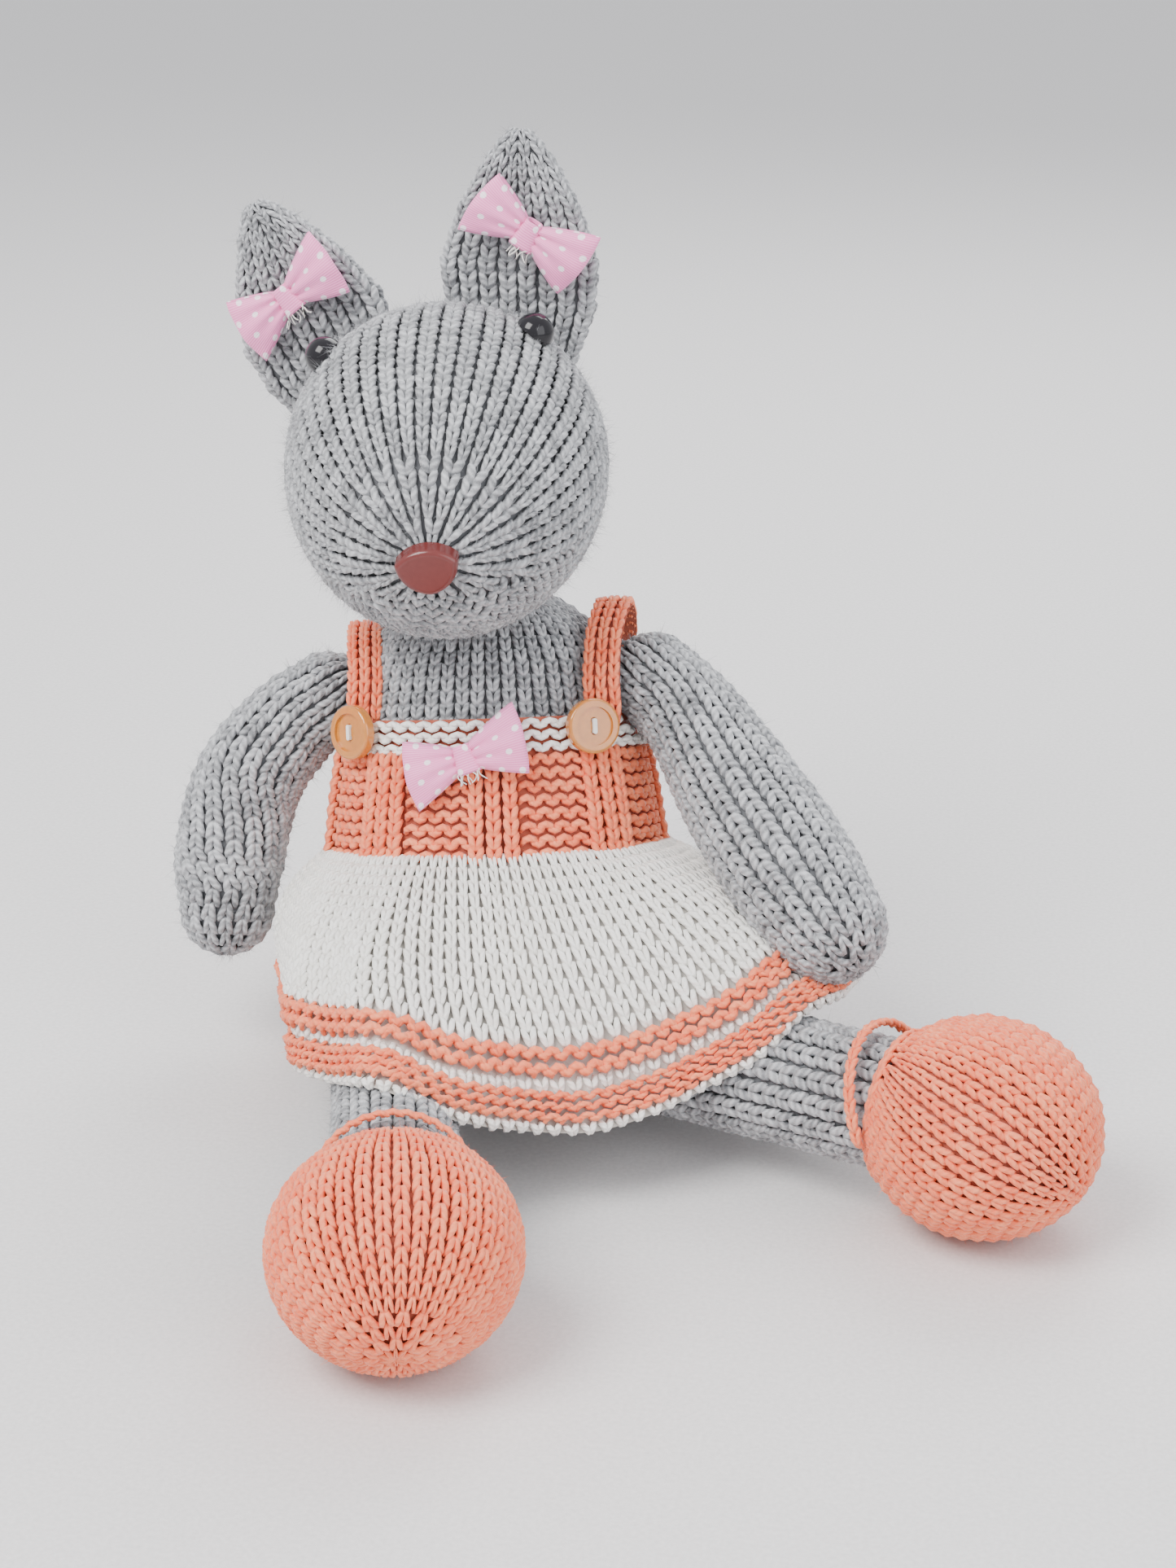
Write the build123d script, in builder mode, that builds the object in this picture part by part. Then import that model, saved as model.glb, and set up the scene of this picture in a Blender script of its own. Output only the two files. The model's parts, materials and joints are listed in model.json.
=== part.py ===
from build123d import *
import math
import os

# A knitted, stuffed bunny doll in a dress, sitting and leaning back a little.
# Millimetres. +Z is up, the doll faces -Y, and its own left is +X.
# The origin is on the flat seat, on the surface the doll sits on.

# ---- yarn and cloth ----
COVER = 2.0            # thickness of the knitted covers
PACKED = 0.25          # room between a cover and its stuffing
RUNNING = 0.45         # room between soft pieces that move on each other
DRESS_THICK = 2.7      # thickness of the knitted dress
DRESS_EASE = 0.4       # room between the dress and the body

# ---- body: oval sections along an axis that leans back and a little to the doll's right ----
SEAT_CENTRE = Vector(2, 0, 0)
GROUND = 200           # side of the block of ground that flattens the seat
BODY_UP = Vector(-0.088, 0.305, 0.948).normalized()
BODY_SECTIONS = [      # height along the axis, half width, half depth
    (-9, 18, 16), (0, 31, 27), (12, 36.5, 32), (30, 38.5, 34), (54, 38.2, 31), (70, 36, 28.5),
    (86, 33.2, 26.5), (98, 31, 24), (106, 26.5, 20.5), (111, 20, 17), (114, 15, 14.8),
]
NECK_HEIGHT = 106      # centre of the neck's round top, along the axis
NECK_RADIUS = 15

# ---- head: an egg lying along the muzzle ----
HEAD_CENTRE = Vector(-14.3, 22, 144.2)
HEAD_RADIUS = 37.2
HEAD_BACK = 36
HEAD_FRONT = 48
MUZZLE_YAW = 7.5
MUZZLE_DROP = 11
HEAD_ROLL = 7.5
HEAD_ROOM = 2.4        # room between the body and the head as it nods
EYE_SPREAD = 41        # from the crown to each eye
EYE_BACK = 98          # from the nose to each eye
EYE_RADIUS = 4.5
SHANK_RADIUS = 1.5
WASHER_RADIUS = 5.5
WASHER_THICK = 1.5
NOSE_WIDTH = 14
NOSE_HEIGHT = 11
NOSE_DEPTH = 4.5

# ---- ears: side, foot of the ear, tip of the ear ----
EARS = [
    ("left", Vector(-1, 46, 162), Vector(-1.1, 44.5, 217.5)),
    ("right", Vector(-40.3, 46.5, 149), Vector(-65.2, 45.5, 198.4)),
]
EAR_SECTIONS = [       # share of the length, half width, half thickness
    (0.0, 12, 3.2), (0.25, 17, 4), (0.45, 18, 4.2), (0.7, 13.5, 3.8), (0.9, 6, 2.6), (1.0, 1.6, 1.2),
]
EAR_HEAD_GAP = 2.4     # the ear's foot stands this far off the head, so that it can fold

# ---- arms: side, route of the middle line, radii along it ----
ARMS = [
    ("left", [(34, 25, 93.5), (44.5, 18, 86.5), (58.5, 4, 72.3), (71.8, -10.5, 61.4), (81.2, -20.5, 53.6)],
     [11, 12, 14.6, 15, 13]),
    ("right", [(-46, 26, 83.5), (-55, 22, 76.5), (-64, 16, 64), (-67.3, 9, 47.4), (-67, 4, 35.5)],
     [11, 12, 13.2, 13.4, 11.5]),
]
END_ANGLES = (30, 57, 80)  # where the sections that round off a limb's end are, round the end
SIDEWAYS = Vector(1, 0, 0)
SEAM_YARN = 1.0        # thickness of the sewing yarn that holds a limb or the head on
SEAM_ZONE = (25, 50)   # degrees from the seam's axis to its inner and outer edge
NECK_ZONE = (48, 66)
NECK_SHELF = 4.5       # the shelf at the foot of the neck, above the neck's centre
TURN = 30              # degrees that the head turns each way
NOD_BACK = 10
NOD_DOWN = 8

# ---- legs and shoes: side, hip, middle of the shoe, radius at the hip and at the ankle ----
LEGS = [
    ("left", Vector(24, -16, 22), Vector(118.2, -52.7, 23.7), 15.6, 14.6),
    ("right", Vector(-20, -20, 22), Vector(5.3, -123.9, 23.7), 15, 13.6),
]
SHOE_RADIUS = 26
SHOE_HALF_HEIGHT = 23.7
ANKLE_IN_SHOE = 12     # how far the leg goes into the shoe
STRAP_YARN = 1.5
STRAP_LEAN = 21        # degrees that the strap's arch leans away from the shoe

# ---- dress ----
WAIST = 54             # along the body's axis
BAND_FOOT = 78
BAND_TOP = 86
HEM_CENTRE = Vector(19, -4, 23)
HEM_SLOPE_X = 6        # degrees that the hem rises towards the doll's left
HEM_SLOPE_Y = 15.5     # degrees that it rises towards the front
HEM_HALF_WIDTH = 61
HEM_HALF_DEPTH = 65
HEM_BAND = 5           # height of each coloured ridge along the hem
SPREAD = {"left": (-12, 12), "right": (-8, 12)}  # degrees that each leg swings on the floor
LEG_ROOM = 0.8         # room between a thigh and the skirt over it
STRAP_X = 27.5
STRAP_WIDTH = 9.5
STRAP_THICK = 3.6

# ---- trim ----
BUTTON_RADIUS = 6.4
BUTTON_THICK = 3
BUTTON_SIDE = 26.5
BUTTON_HEIGHT = 83.5
BUTTON_TURN = 33       # degrees that each button faces outwards
THREAD_RADIUS = 0.5
BOW_LOOP = 13.5        # length of each ribbon loop
BOW_HALF_HEIGHT = 7
BOW_THICK = 3.4
CHEST_BOW_HEIGHT = 78
CHEST_BOW_TURN = 15
EAR_BOW_SHARE = {"left": 0.62, "right": 0.62}
EAR_BOW_TURN = {"left": 20, "right": -27}

os.makedirs("parts", exist_ok=True)


def save(piece, name):
    """Labels a finished piece and writes it as a STEP file."""
    piece.label = name
    export_step(piece, f"parts/{name}.step")


def body_plane(height):
    """The plane across the body at a height along its leaning axis."""
    across = Vector(1, 0, 0)
    side = (across - BODY_UP * across.dot(BODY_UP)).normalized()
    return Plane(SEAT_CENTRE + BODY_UP * height, x_dir=side, z_dir=BODY_UP)


def body_point(x, depth, height):
    """A point given across, behind and along the body's axis, in the doll's frame."""
    return body_plane(height).from_local_coords(Vector(x, depth, 0))


def half_sizes(height):
    """Half width and half depth of the body at a height, straight between its sections."""
    for low, high in zip(BODY_SECTIONS, BODY_SECTIONS[1:]):
        if low[0] <= height <= high[0]:
            share = (height - low[0]) / (high[0] - low[0])
            return tuple(a + share * (b - a) for a, b in zip(low[1:], high[1:]))
    return BODY_SECTIONS[-1][1:]


def body_loft(low, high, grow):
    """The body's oval form between two heights, larger all round by grow."""
    heights = [low] + [s[0] for s in BODY_SECTIONS if low < s[0] < high] + [high]
    with BuildPart() as form:
        for height in heights:
            half_x, half_y = half_sizes(height)
            with BuildSketch(body_plane(height)):
                Ellipse(half_x + grow, half_y + grow)
        loft()
    return form.part


def tube(points, radii, grow):
    """A tube along points, with a radius at each, whose ends are rounded by shrinking sections."""
    stops = [Vector(*p) for p in points]
    tangents = []
    for i in range(len(stops)):
        before = stops[max(i - 1, 0)]
        after = stops[min(i + 1, len(stops) - 1)]
        tangents.append((after - before).normalized())
    sections = [(stop, tangent, radius + grow) for stop, tangent, radius in zip(stops, tangents, radii)]
    for angle in END_ANGLES:
        sine, cosine = math.sin(math.radians(angle)), math.cos(math.radians(angle))
        first, last = radii[0] + grow, radii[-1] + grow
        sections.insert(0, (stops[0] - tangents[0] * first * sine, tangents[0], first * cosine))
        sections.append((stops[-1] + tangents[-1] * last * sine, tangents[-1], last * cosine))
    with BuildPart() as form:
        for origin, tangent, radius in sections:
            with BuildSketch(Plane(origin, x_dir=tangent.cross(SIDEWAYS), z_dir=tangent)):
                Circle(radius)
        loft()
    return form.part


def ball(centre, radius):
    """A ball at a point."""
    with BuildPart() as form:
        with Locations(centre):
            Sphere(radius)
    return form.part


def seam_zone(centre, axis, radius, zone):
    """A round of sewing yarn: the zone of a thin round shell between two angles from an axis."""
    start, end = zone
    with BuildPart() as form:
        with BuildSketch(Plane(centre, x_dir=axis, z_dir=Vector(0, 1, 0))):
            with BuildLine():
                near = CenterArc((0, 0), radius, start, end - start)
                far = CenterArc((0, 0), radius + SEAM_YARN, start, end - start)
                Line(near @ 0, far @ 0)
                Line(near @ 1, far @ 1)
            make_face()
        revolve(axis=Axis(centre, axis))
    return form.part


def rod(start, end, radius, end_radius=None):
    """A round rod from one point to another, tapered when an end radius is given."""
    plane = Plane(start, z_dir=(end - start).normalized())
    bottom = (Align.CENTER, Align.CENTER, Align.MIN)
    with BuildPart() as form:
        with Locations(plane.location):
            if end_radius is None:
                Cylinder(radius, (end - start).length, align=bottom)
            else:
                Cone(radius, end_radius, (end - start).length, align=bottom)
    return form.part


def cut(piece, *tools):
    """The piece with each tool taken away."""
    with BuildPart() as form:
        add(piece)
        for tool in tools:
            add(tool, mode=Mode.SUBTRACT)
    return form.part


SHOULDERS = [Vector(*points[0]) for side, points, radii in ARMS]
SHOULDER_RADIUS = ARMS[0][2][0]
SOCKET_RADIUS = SHOULDER_RADIUS + SEAM_YARN + 2 * RUNNING
NECK_CENTRE = body_point(0, 0, NECK_HEIGHT)
UP = Vector(0, 0, 1)


def head_places():
    """Where the middle of the head goes as it turns and nods on the neck."""
    places = []
    for nod in (-NOD_BACK, NOD_DOWN):
        for turn in (-TURN, 0, TURN):
            arm = (HEAD_CENTRE - NECK_CENTRE).rotate(Axis.X, nod).rotate(Axis.Z, turn)
            places.append(NECK_CENTRE + arm)
    return places


HEAD_PLACES = head_places()
POCKET_RADIUS = NECK_RADIUS + SEAM_YARN + 2 * RUNNING


# ---- body: knitted cover and stuffing ----
def neck_room(inset):
    """The round room for the head's rim, above the shelf that the neck rises from."""
    with BuildPart() as form:
        with Locations(NECK_CENTRE):
            Sphere(POCKET_RADIUS + RUNNING + inset)
        split(bisect_by=Plane.XY.offset(NECK_CENTRE.Z + NECK_SHELF - inset), keep=Keep.TOP)
    return form.part


def body_form(inset):
    """The stuffed body, smaller all round by inset, hollowed where the limbs press into it."""
    with BuildPart() as form:
        add(body_loft(BODY_SECTIONS[0][0] + inset, BODY_SECTIONS[-1][0] - inset, -inset))
        with Locations(*HEAD_PLACES):
            Sphere(HEAD_RADIUS + HEAD_ROOM + inset, mode=Mode.SUBTRACT)
        add(neck_room(inset), mode=Mode.SUBTRACT)
        with Locations(NECK_CENTRE):
            Sphere(NECK_RADIUS - inset)
        with Locations((0, 0, inset)):
            Box(GROUND, GROUND, GROUND, align=(Align.CENTER, Align.CENTER, Align.MAX), mode=Mode.SUBTRACT)
        with Locations(*SHOULDERS):
            Sphere(SOCKET_RADIUS + inset, mode=Mode.SUBTRACT)
        for side, hip, shoe, hip_radius, ankle_radius in LEGS:
            with Locations(hip):
                Sphere(hip_radius + RUNNING + inset, mode=Mode.SUBTRACT)
            for turn in (SPREAD[side][0], 0, SPREAD[side][1]):
                end = hip + (shoe - hip).rotate(Axis.Z, turn)
                add(rod(hip, end, hip_radius + LEG_ROOM + inset), mode=Mode.SUBTRACT)
    return form.part


save(cut(body_form(0), body_form(COVER)), "body_cover")
save(body_form(COVER + PACKED), "body_stuffing")


# ---- neck: the round of sewing yarn between the head and the body ----
save(seam_zone(NECK_CENTRE, UP, NECK_RADIUS + RUNNING, NECK_ZONE), "neck_seam")


# ---- head ----
muzzle = Vector(0, -1, 0).rotate(Axis.X, MUZZLE_DROP).rotate(Axis.Z, MUZZLE_YAW)
level_side = muzzle.cross(UP).normalized() * -1
head_side = level_side.rotate(Axis((0, 0, 0), muzzle), HEAD_ROLL)
head_up = head_side.cross(muzzle).normalized() * -1


def egg(inset):
    """The head's egg, smaller all round by inset. Its outline runs along the muzzle."""
    stops = []
    for degrees in range(-90, 91, 18):
        angle = math.radians(degrees)
        half_length = (HEAD_BACK if degrees < 0 else HEAD_FRONT) - inset
        stops.append(((HEAD_RADIUS - inset) * math.cos(angle), half_length * math.sin(angle)))
    stops[0] = (0, -HEAD_BACK + inset)
    stops[-1] = (0, HEAD_FRONT - inset)
    with BuildPart() as form:
        with BuildSketch(Plane(HEAD_CENTRE, x_dir=level_side, z_dir=level_side.cross(muzzle))):
            with BuildLine():
                Spline(*stops, tangents=[(1, 0), (-1, 0)])
                Line(stops[-1], stops[0])
            make_face()
        revolve(axis=Axis(HEAD_CENTRE, muzzle))
    return form.part


def head_form(inset):
    """The stuffed head with the hollow that sits over the neck."""
    return cut(egg(inset), ball(NECK_CENTRE, POCKET_RADIUS + inset))


def eye_direction(sign):
    """From the head's middle to an eye."""
    tilt = math.radians(EYE_BACK)
    spread = math.radians(EYE_SPREAD)
    around = head_side * (sign * math.sin(spread)) + head_up * math.cos(spread)
    return (muzzle * math.cos(tilt) + around * math.sin(tilt)).normalized()


def back_distance(direction):
    """How far the back half of the egg, an ellipsoid, is from its middle along a direction."""
    along = direction.dot(muzzle)
    return 1 / math.sqrt((along / HEAD_BACK) ** 2 + (1 - along**2) / HEAD_RADIUS**2)


shanks = []
washers = []
for side, sign in (("left", 1), ("right", -1)):
    direction = eye_direction(sign)
    seat = HEAD_CENTRE + direction * (back_distance(direction) + 0.1)
    with BuildPart() as eye:
        with Locations(seat):
            Sphere(EYE_RADIUS)
        split(bisect_by=Plane(seat, z_dir=direction), keep=Keep.TOP)
        add(rod(seat - direction * (COVER + WASHER_THICK + 3), seat, SHANK_RADIUS))
    save(eye.part, f"eye_{side}")
    washer_top = seat - direction * (COVER + 1.0)
    shanks.append(rod(seat - direction * 10, seat + direction * 2, SHANK_RADIUS + 0.15))
    washers.append(rod(washer_top - direction * (WASHER_THICK + 0.3), seat, WASHER_RADIUS + 0.3))
    washer = cut(rod(washer_top - direction * WASHER_THICK, washer_top, WASHER_RADIUS), shanks[-1])
    save(washer, f"eye_washer_{side}")

nose_seat = HEAD_CENTRE + muzzle * (HEAD_FRONT + 0.15)
nose_plane = Plane(nose_seat, x_dir=head_side, z_dir=muzzle)
with BuildPart() as nose:
    with BuildSketch(nose_plane):
        with BuildLine():
            ThreePointArc((-NOSE_WIDTH / 2, 2.2), (0, 5.4), (NOSE_WIDTH / 2, 2.2))
            ThreePointArc((NOSE_WIDTH / 2, 2.2), (4.6, -3.4), (0, 5.4 - NOSE_HEIGHT))
            ThreePointArc((0, 5.4 - NOSE_HEIGHT), (-4.6, -3.4), (-NOSE_WIDTH / 2, 2.2))
        make_face()
    extrude(amount=NOSE_DEPTH)
    fillet(nose.edges().filter_by(lambda e: (e.center() - nose_seat).dot(muzzle) > 0.1), 1.2)
    add(rod(nose_seat - muzzle * (COVER + WASHER_THICK + 6), nose_seat, SHANK_RADIUS))
save(nose.part, "nose")
nose_washer_top = nose_seat - muzzle * (COVER + 3.4)
nose_shank = rod(nose_seat - muzzle * 14, nose_seat + muzzle * 2, SHANK_RADIUS + 0.15)
nose_room = rod(nose_washer_top - muzzle * 8, nose_washer_top + muzzle * 0.4, WASHER_RADIUS + 0.3)
nose_washer = cut(rod(nose_washer_top - muzzle * WASHER_THICK, nose_washer_top, WASHER_RADIUS), nose_shank)
save(nose_washer, "nose_washer")

save(cut(head_form(0), head_form(COVER), *shanks, nose_shank), "head_cover")
save(cut(head_form(COVER + PACKED), *shanks, *washers, nose_shank, nose_room), "head_stuffing")


# ---- bows: two ribbon loops, and the short wrap that holds them ----
def bow(centre, facing, turn, name):
    """A ribbon bow that faces a direction, turned in its own plane."""
    level = Vector(0, 0, 1).cross(facing).normalized()
    plane = Plane(centre, x_dir=level.rotate(Axis((0, 0, 0), facing), -turn), z_dir=facing)
    for piece, sign in (("loop_a", -1), ("loop_b", 1)):
        with BuildPart() as loop:
            with BuildSketch(plane):
                Polygon(
                    (sign * 2.3, -1.8),
                    (sign * 2.3, 1.8),
                    (sign * BOW_LOOP, BOW_HALF_HEIGHT),
                    (sign * (BOW_LOOP + 0.8), -BOW_HALF_HEIGHT),
                    align=None,
                )
            extrude(amount=BOW_THICK)
        save(loop.part, f"{name}_{piece}")
    with BuildPart() as wrap:
        with BuildSketch(plane):
            RectangleRounded(4.2, 5.4, 0.8)
        extrude(amount=BOW_THICK + 0.6)
    save(wrap.part, f"{name}_wrap")


# ---- ears ----
def ear_plane(foot, tip, share):
    """The plane across an ear at a share of its length. X is along its width."""
    along = (tip - foot).normalized()
    width = (Vector(1, 0, 0) - along * along.X).normalized()
    return Plane(foot + (tip - foot) * share, x_dir=width, z_dir=along)


head_room = egg(-EAR_HEAD_GAP)
for side, foot, tip in EARS:
    with BuildPart() as leaf:
        for share, half_width, half_thick in EAR_SECTIONS:
            with BuildSketch(ear_plane(foot, tip, share)):
                Ellipse(half_width, half_thick)
        loft()
    ear = cut(leaf.part, head_room)
    save(ear, f"ear_{side}")
    middle = ear_plane(foot, tip, EAR_BOW_SHARE[side])
    front = middle.y_dir * -1
    bow(middle.origin + front * 4.6, front, EAR_BOW_TURN[side], f"bow_ear_{side}")


# ---- arms ----
for side, points, radii in ARMS:
    cover = cut(tube(points, radii, 0), tube(points, radii, -COVER))
    save(cover, f"arm_{side}_cover")
    save(tube(points, radii, -COVER - PACKED), f"arm_{side}_stuffing")
    inward = Vector(-1 if side == "left" else 1, 0, 0)
    seam = seam_zone(Vector(*points[0]), inward, SHOULDER_RADIUS + RUNNING, SEAM_ZONE)
    save(seam, f"shoulder_seam_{side}")


# ---- legs and shoes ----
def shoe_form(centre, inset):
    """The round shoe, flattened where it stands."""
    with BuildPart() as form:
        with Locations(centre):
            Sphere(SHOE_RADIUS - inset)
        scale(by=(1, 1, (SHOE_HALF_HEIGHT - inset) / (SHOE_RADIUS - inset)))
    return form.part.moved(Location((0, 0, centre.Z - form.part.center().Z)))


for side, hip, shoe, hip_radius, ankle_radius in LEGS:
    along = (shoe - hip).normalized()
    ankle = shoe - along * (SHOE_RADIUS - ANKLE_IN_SHOE)
    route = [hip, hip + (ankle - hip) * 0.5, ankle]
    widths = [hip_radius, (hip_radius + ankle_radius) / 2, ankle_radius]
    save(cut(tube(route, widths, 0), tube(route, widths, -COVER)), f"leg_{side}_cover")
    save(tube(route, widths, -COVER - PACKED), f"leg_{side}_stuffing")
    leg_room = tube(route, widths, 0.3)
    upper = cut(shoe_form(shoe, 0), shoe_form(shoe, COVER), leg_room)
    save(upper, f"shoe_{side}")
    save(cut(shoe_form(shoe, COVER + PACKED), leg_room), f"foot_{side}_stuffing")
    across = along.cross(UP).normalized()
    arch = along.rotate(Axis((0, 0, 0), across), STRAP_LEAN)
    strap_radius = (ankle_radius + STRAP_YARN + 1.2) / math.cos(math.radians(STRAP_LEAN))
    strap_at = shoe - along * math.sqrt((SHOE_RADIUS + STRAP_YARN + 0.2) ** 2 - strap_radius**2)
    with BuildPart() as strap:
        with Locations(Plane(strap_at, x_dir=across, z_dir=arch).location):
            Torus(strap_radius, STRAP_YARN)
        split(bisect_by=Plane.XY.offset(strap_at.Z), keep=Keep.TOP)
    save(strap.part, f"shoe_strap_{side}")


# ---- dress ----
armholes = [ball(shoulder, SOCKET_RADIUS) for shoulder in SHOULDERS]


def dress_part(low, high):
    """A length of the dress that follows the body."""
    outer = body_loft(low, high, DRESS_EASE + DRESS_THICK)
    inner = body_loft(low - 1, high + 1, DRESS_EASE)
    return cut(outer, inner, *armholes)


save(dress_part(BAND_FOOT + 0.05, BAND_TOP), "dress_neckband")
save(dress_part(WAIST + 0.05, BAND_FOOT), "dress_bodice")

hem_plane = Plane(HEM_CENTRE, z_dir=Vector(0, 0, 1).rotate(Axis.Y, -HEM_SLOPE_X).rotate(Axis.X, -HEM_SLOPE_Y))


def skirt_form(inset):
    """The skirt's flared form, from the waist to the hem."""
    half_x, half_y = half_sizes(WAIST)
    with BuildPart() as form:
        with BuildSketch(body_plane(WAIST)):
            Ellipse(half_x + DRESS_EASE + DRESS_THICK - inset, half_y + DRESS_EASE + DRESS_THICK - inset)
        with BuildSketch(hem_plane):
            Ellipse(HEM_HALF_WIDTH - inset, HEM_HALF_DEPTH - inset)
        loft()
    return form.part


leg_sweeps = []
for side, hip, shoe, hip_radius, ankle_radius in LEGS:
    low, high = SPREAD[side]
    for turn in (low, low / 2, 0, high / 2, high):
        end = hip + (shoe - hip).rotate(Axis.Z, turn)
        leg_sweeps.append(rod(hip, end, hip_radius + LEG_ROOM, ankle_radius + LEG_ROOM))

body_room = body_loft(BODY_SECTIONS[0][0], BODY_SECTIONS[-1][0], DRESS_EASE)
cloth = cut(skirt_form(0), skirt_form(DRESS_THICK), body_room, *leg_sweeps)
ridge_tops = [HEM_BAND, 2 * HEM_BAND, 3 * HEM_BAND]


def cloth_between(low, high):
    """The skirt's cloth between two heights above the hem."""
    with BuildPart() as form:
        add(cloth)
        if low > 0:
            split(bisect_by=hem_plane.offset(low + 0.05), keep=Keep.TOP)
        if high is not None:
            split(bisect_by=hem_plane.offset(high), keep=Keep.BOTTOM)
    return form.part


save(cloth_between(0, ridge_tops[0]), "hem_ridge_lower")
save(cloth_between(ridge_tops[0], ridge_tops[1]), "hem_stripe")
save(cloth_between(ridge_tops[1], ridge_tops[2]), "hem_ridge_upper")
save(cloth_between(ridge_tops[2], None), "dress_skirt")

for side, sign in (("left", 1), ("right", -1)):
    outer = body_loft(BAND_TOP + 0.3, NECK_HEIGHT + 8, DRESS_EASE + STRAP_THICK)
    inner = body_loft(BAND_TOP - 1, NECK_HEIGHT + 8, DRESS_EASE)
    with BuildPart() as strap:
        add(cut(outer, inner, *armholes, ball(NECK_CENTRE, NECK_RADIUS + 3)))
        with BuildSketch(body_plane(BAND_TOP)):
            with Locations((sign * STRAP_X, 0)):
                Rectangle(STRAP_WIDTH, 90)
        extrude(amount=40, mode=Mode.INTERSECT)
    save(strap.part, f"strap_{side}")


# ---- buttons ----
for side, sign in (("left", 1), ("right", -1)):
    half_x, half_y = half_sizes(BUTTON_HEIGHT)
    reach = half_x + DRESS_EASE + DRESS_THICK
    depth = (half_y + DRESS_EASE + DRESS_THICK) * math.sqrt(1 - (BUTTON_SIDE / reach) ** 2)
    turn = math.radians(BUTTON_TURN)
    plane = body_plane(BUTTON_HEIGHT)
    facing = plane.x_dir * (sign * math.sin(turn)) - plane.y_dir * math.cos(turn)
    seat = body_point(sign * BUTTON_SIDE, -depth, BUTTON_HEIGHT) + facing * 2.2
    face = Plane(seat, x_dir=plane.z_dir, z_dir=facing)
    with BuildPart() as button:
        with BuildSketch(face):
            Circle(BUTTON_RADIUS)
        extrude(amount=BUTTON_THICK)
        fillet(button.edges(), 0.8)
        with BuildSketch(face.offset(BUTTON_THICK - 0.7)):
            Circle(BUTTON_RADIUS - 1.9)
        extrude(amount=1, mode=Mode.SUBTRACT)
        with BuildSketch(face):
            with Locations((1.3, 0), (-1.3, 0)):
                Circle(0.75)
        extrude(amount=BUTTON_THICK, mode=Mode.SUBTRACT)
    save(button.part, f"button_{side}")
    with BuildPart() as thread:
        with BuildSketch(face.offset(-0.2)):
            with Locations((1.3, 0), (-1.3, 0)):
                Circle(THREAD_RADIUS)
        extrude(amount=BUTTON_THICK)
        with BuildSketch(face.offset(BUTTON_THICK - 0.65)):
            SlotCenterToCenter(2.6, 1)
        extrude(amount=0.7)
    save(thread.part, f"button_thread_{side}")

chest = body_plane(CHEST_BOW_HEIGHT)
chest_depth = half_sizes(CHEST_BOW_HEIGHT)[1] + DRESS_EASE + DRESS_THICK
bow(body_point(2, -chest_depth - 0.6, CHEST_BOW_HEIGHT), chest.y_dir * -1, -CHEST_BOW_TURN, "bow_chest")
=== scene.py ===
# %% [markdown]
# # A knitted bunny doll in a sundress
# The doll is knitted from grey marled yarn, stuffed, and dressed. Nearly everything that shows is
# knitting, so the lesson builds one good stitch and lays thousands of them over simple forms.
# A picture of stitches on a smooth form would look flat from the side, so each one is real geometry.

# %% Start
import json
import math
import bpy
import numpy as np
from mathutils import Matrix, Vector

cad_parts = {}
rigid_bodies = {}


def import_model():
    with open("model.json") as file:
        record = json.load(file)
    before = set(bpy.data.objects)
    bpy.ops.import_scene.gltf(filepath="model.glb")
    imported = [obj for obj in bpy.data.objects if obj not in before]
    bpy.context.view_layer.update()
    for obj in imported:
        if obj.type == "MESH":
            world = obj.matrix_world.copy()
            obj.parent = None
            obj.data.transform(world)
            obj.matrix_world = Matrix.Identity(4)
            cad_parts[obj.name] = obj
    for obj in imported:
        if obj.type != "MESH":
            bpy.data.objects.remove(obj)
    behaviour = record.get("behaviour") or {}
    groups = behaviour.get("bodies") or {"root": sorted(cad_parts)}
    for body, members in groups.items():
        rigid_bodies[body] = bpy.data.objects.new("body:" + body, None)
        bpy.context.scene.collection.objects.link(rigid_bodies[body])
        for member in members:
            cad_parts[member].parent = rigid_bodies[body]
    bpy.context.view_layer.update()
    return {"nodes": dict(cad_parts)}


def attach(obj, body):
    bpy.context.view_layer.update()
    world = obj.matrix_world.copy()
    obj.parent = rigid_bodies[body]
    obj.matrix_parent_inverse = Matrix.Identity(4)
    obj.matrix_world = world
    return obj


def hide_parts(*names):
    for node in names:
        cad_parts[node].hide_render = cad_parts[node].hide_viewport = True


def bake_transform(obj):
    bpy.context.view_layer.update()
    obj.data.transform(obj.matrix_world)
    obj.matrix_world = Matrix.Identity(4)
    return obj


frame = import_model()
rng = np.random.default_rng(11)
MM = 0.001

# %% [markdown]
# ## Small helpers
# Meshes are made from whole arrays. Each has a "yarn" attribute that says, for every point, how far
# along the yarn it is, how far round it, and a random number for its stitch.


# %% Mesh helpers
def unit(vectors):
    """Each vector divided by its own length."""
    return vectors / np.maximum(np.linalg.norm(vectors, axis=-1, keepdims=True), 1e-9)


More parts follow.
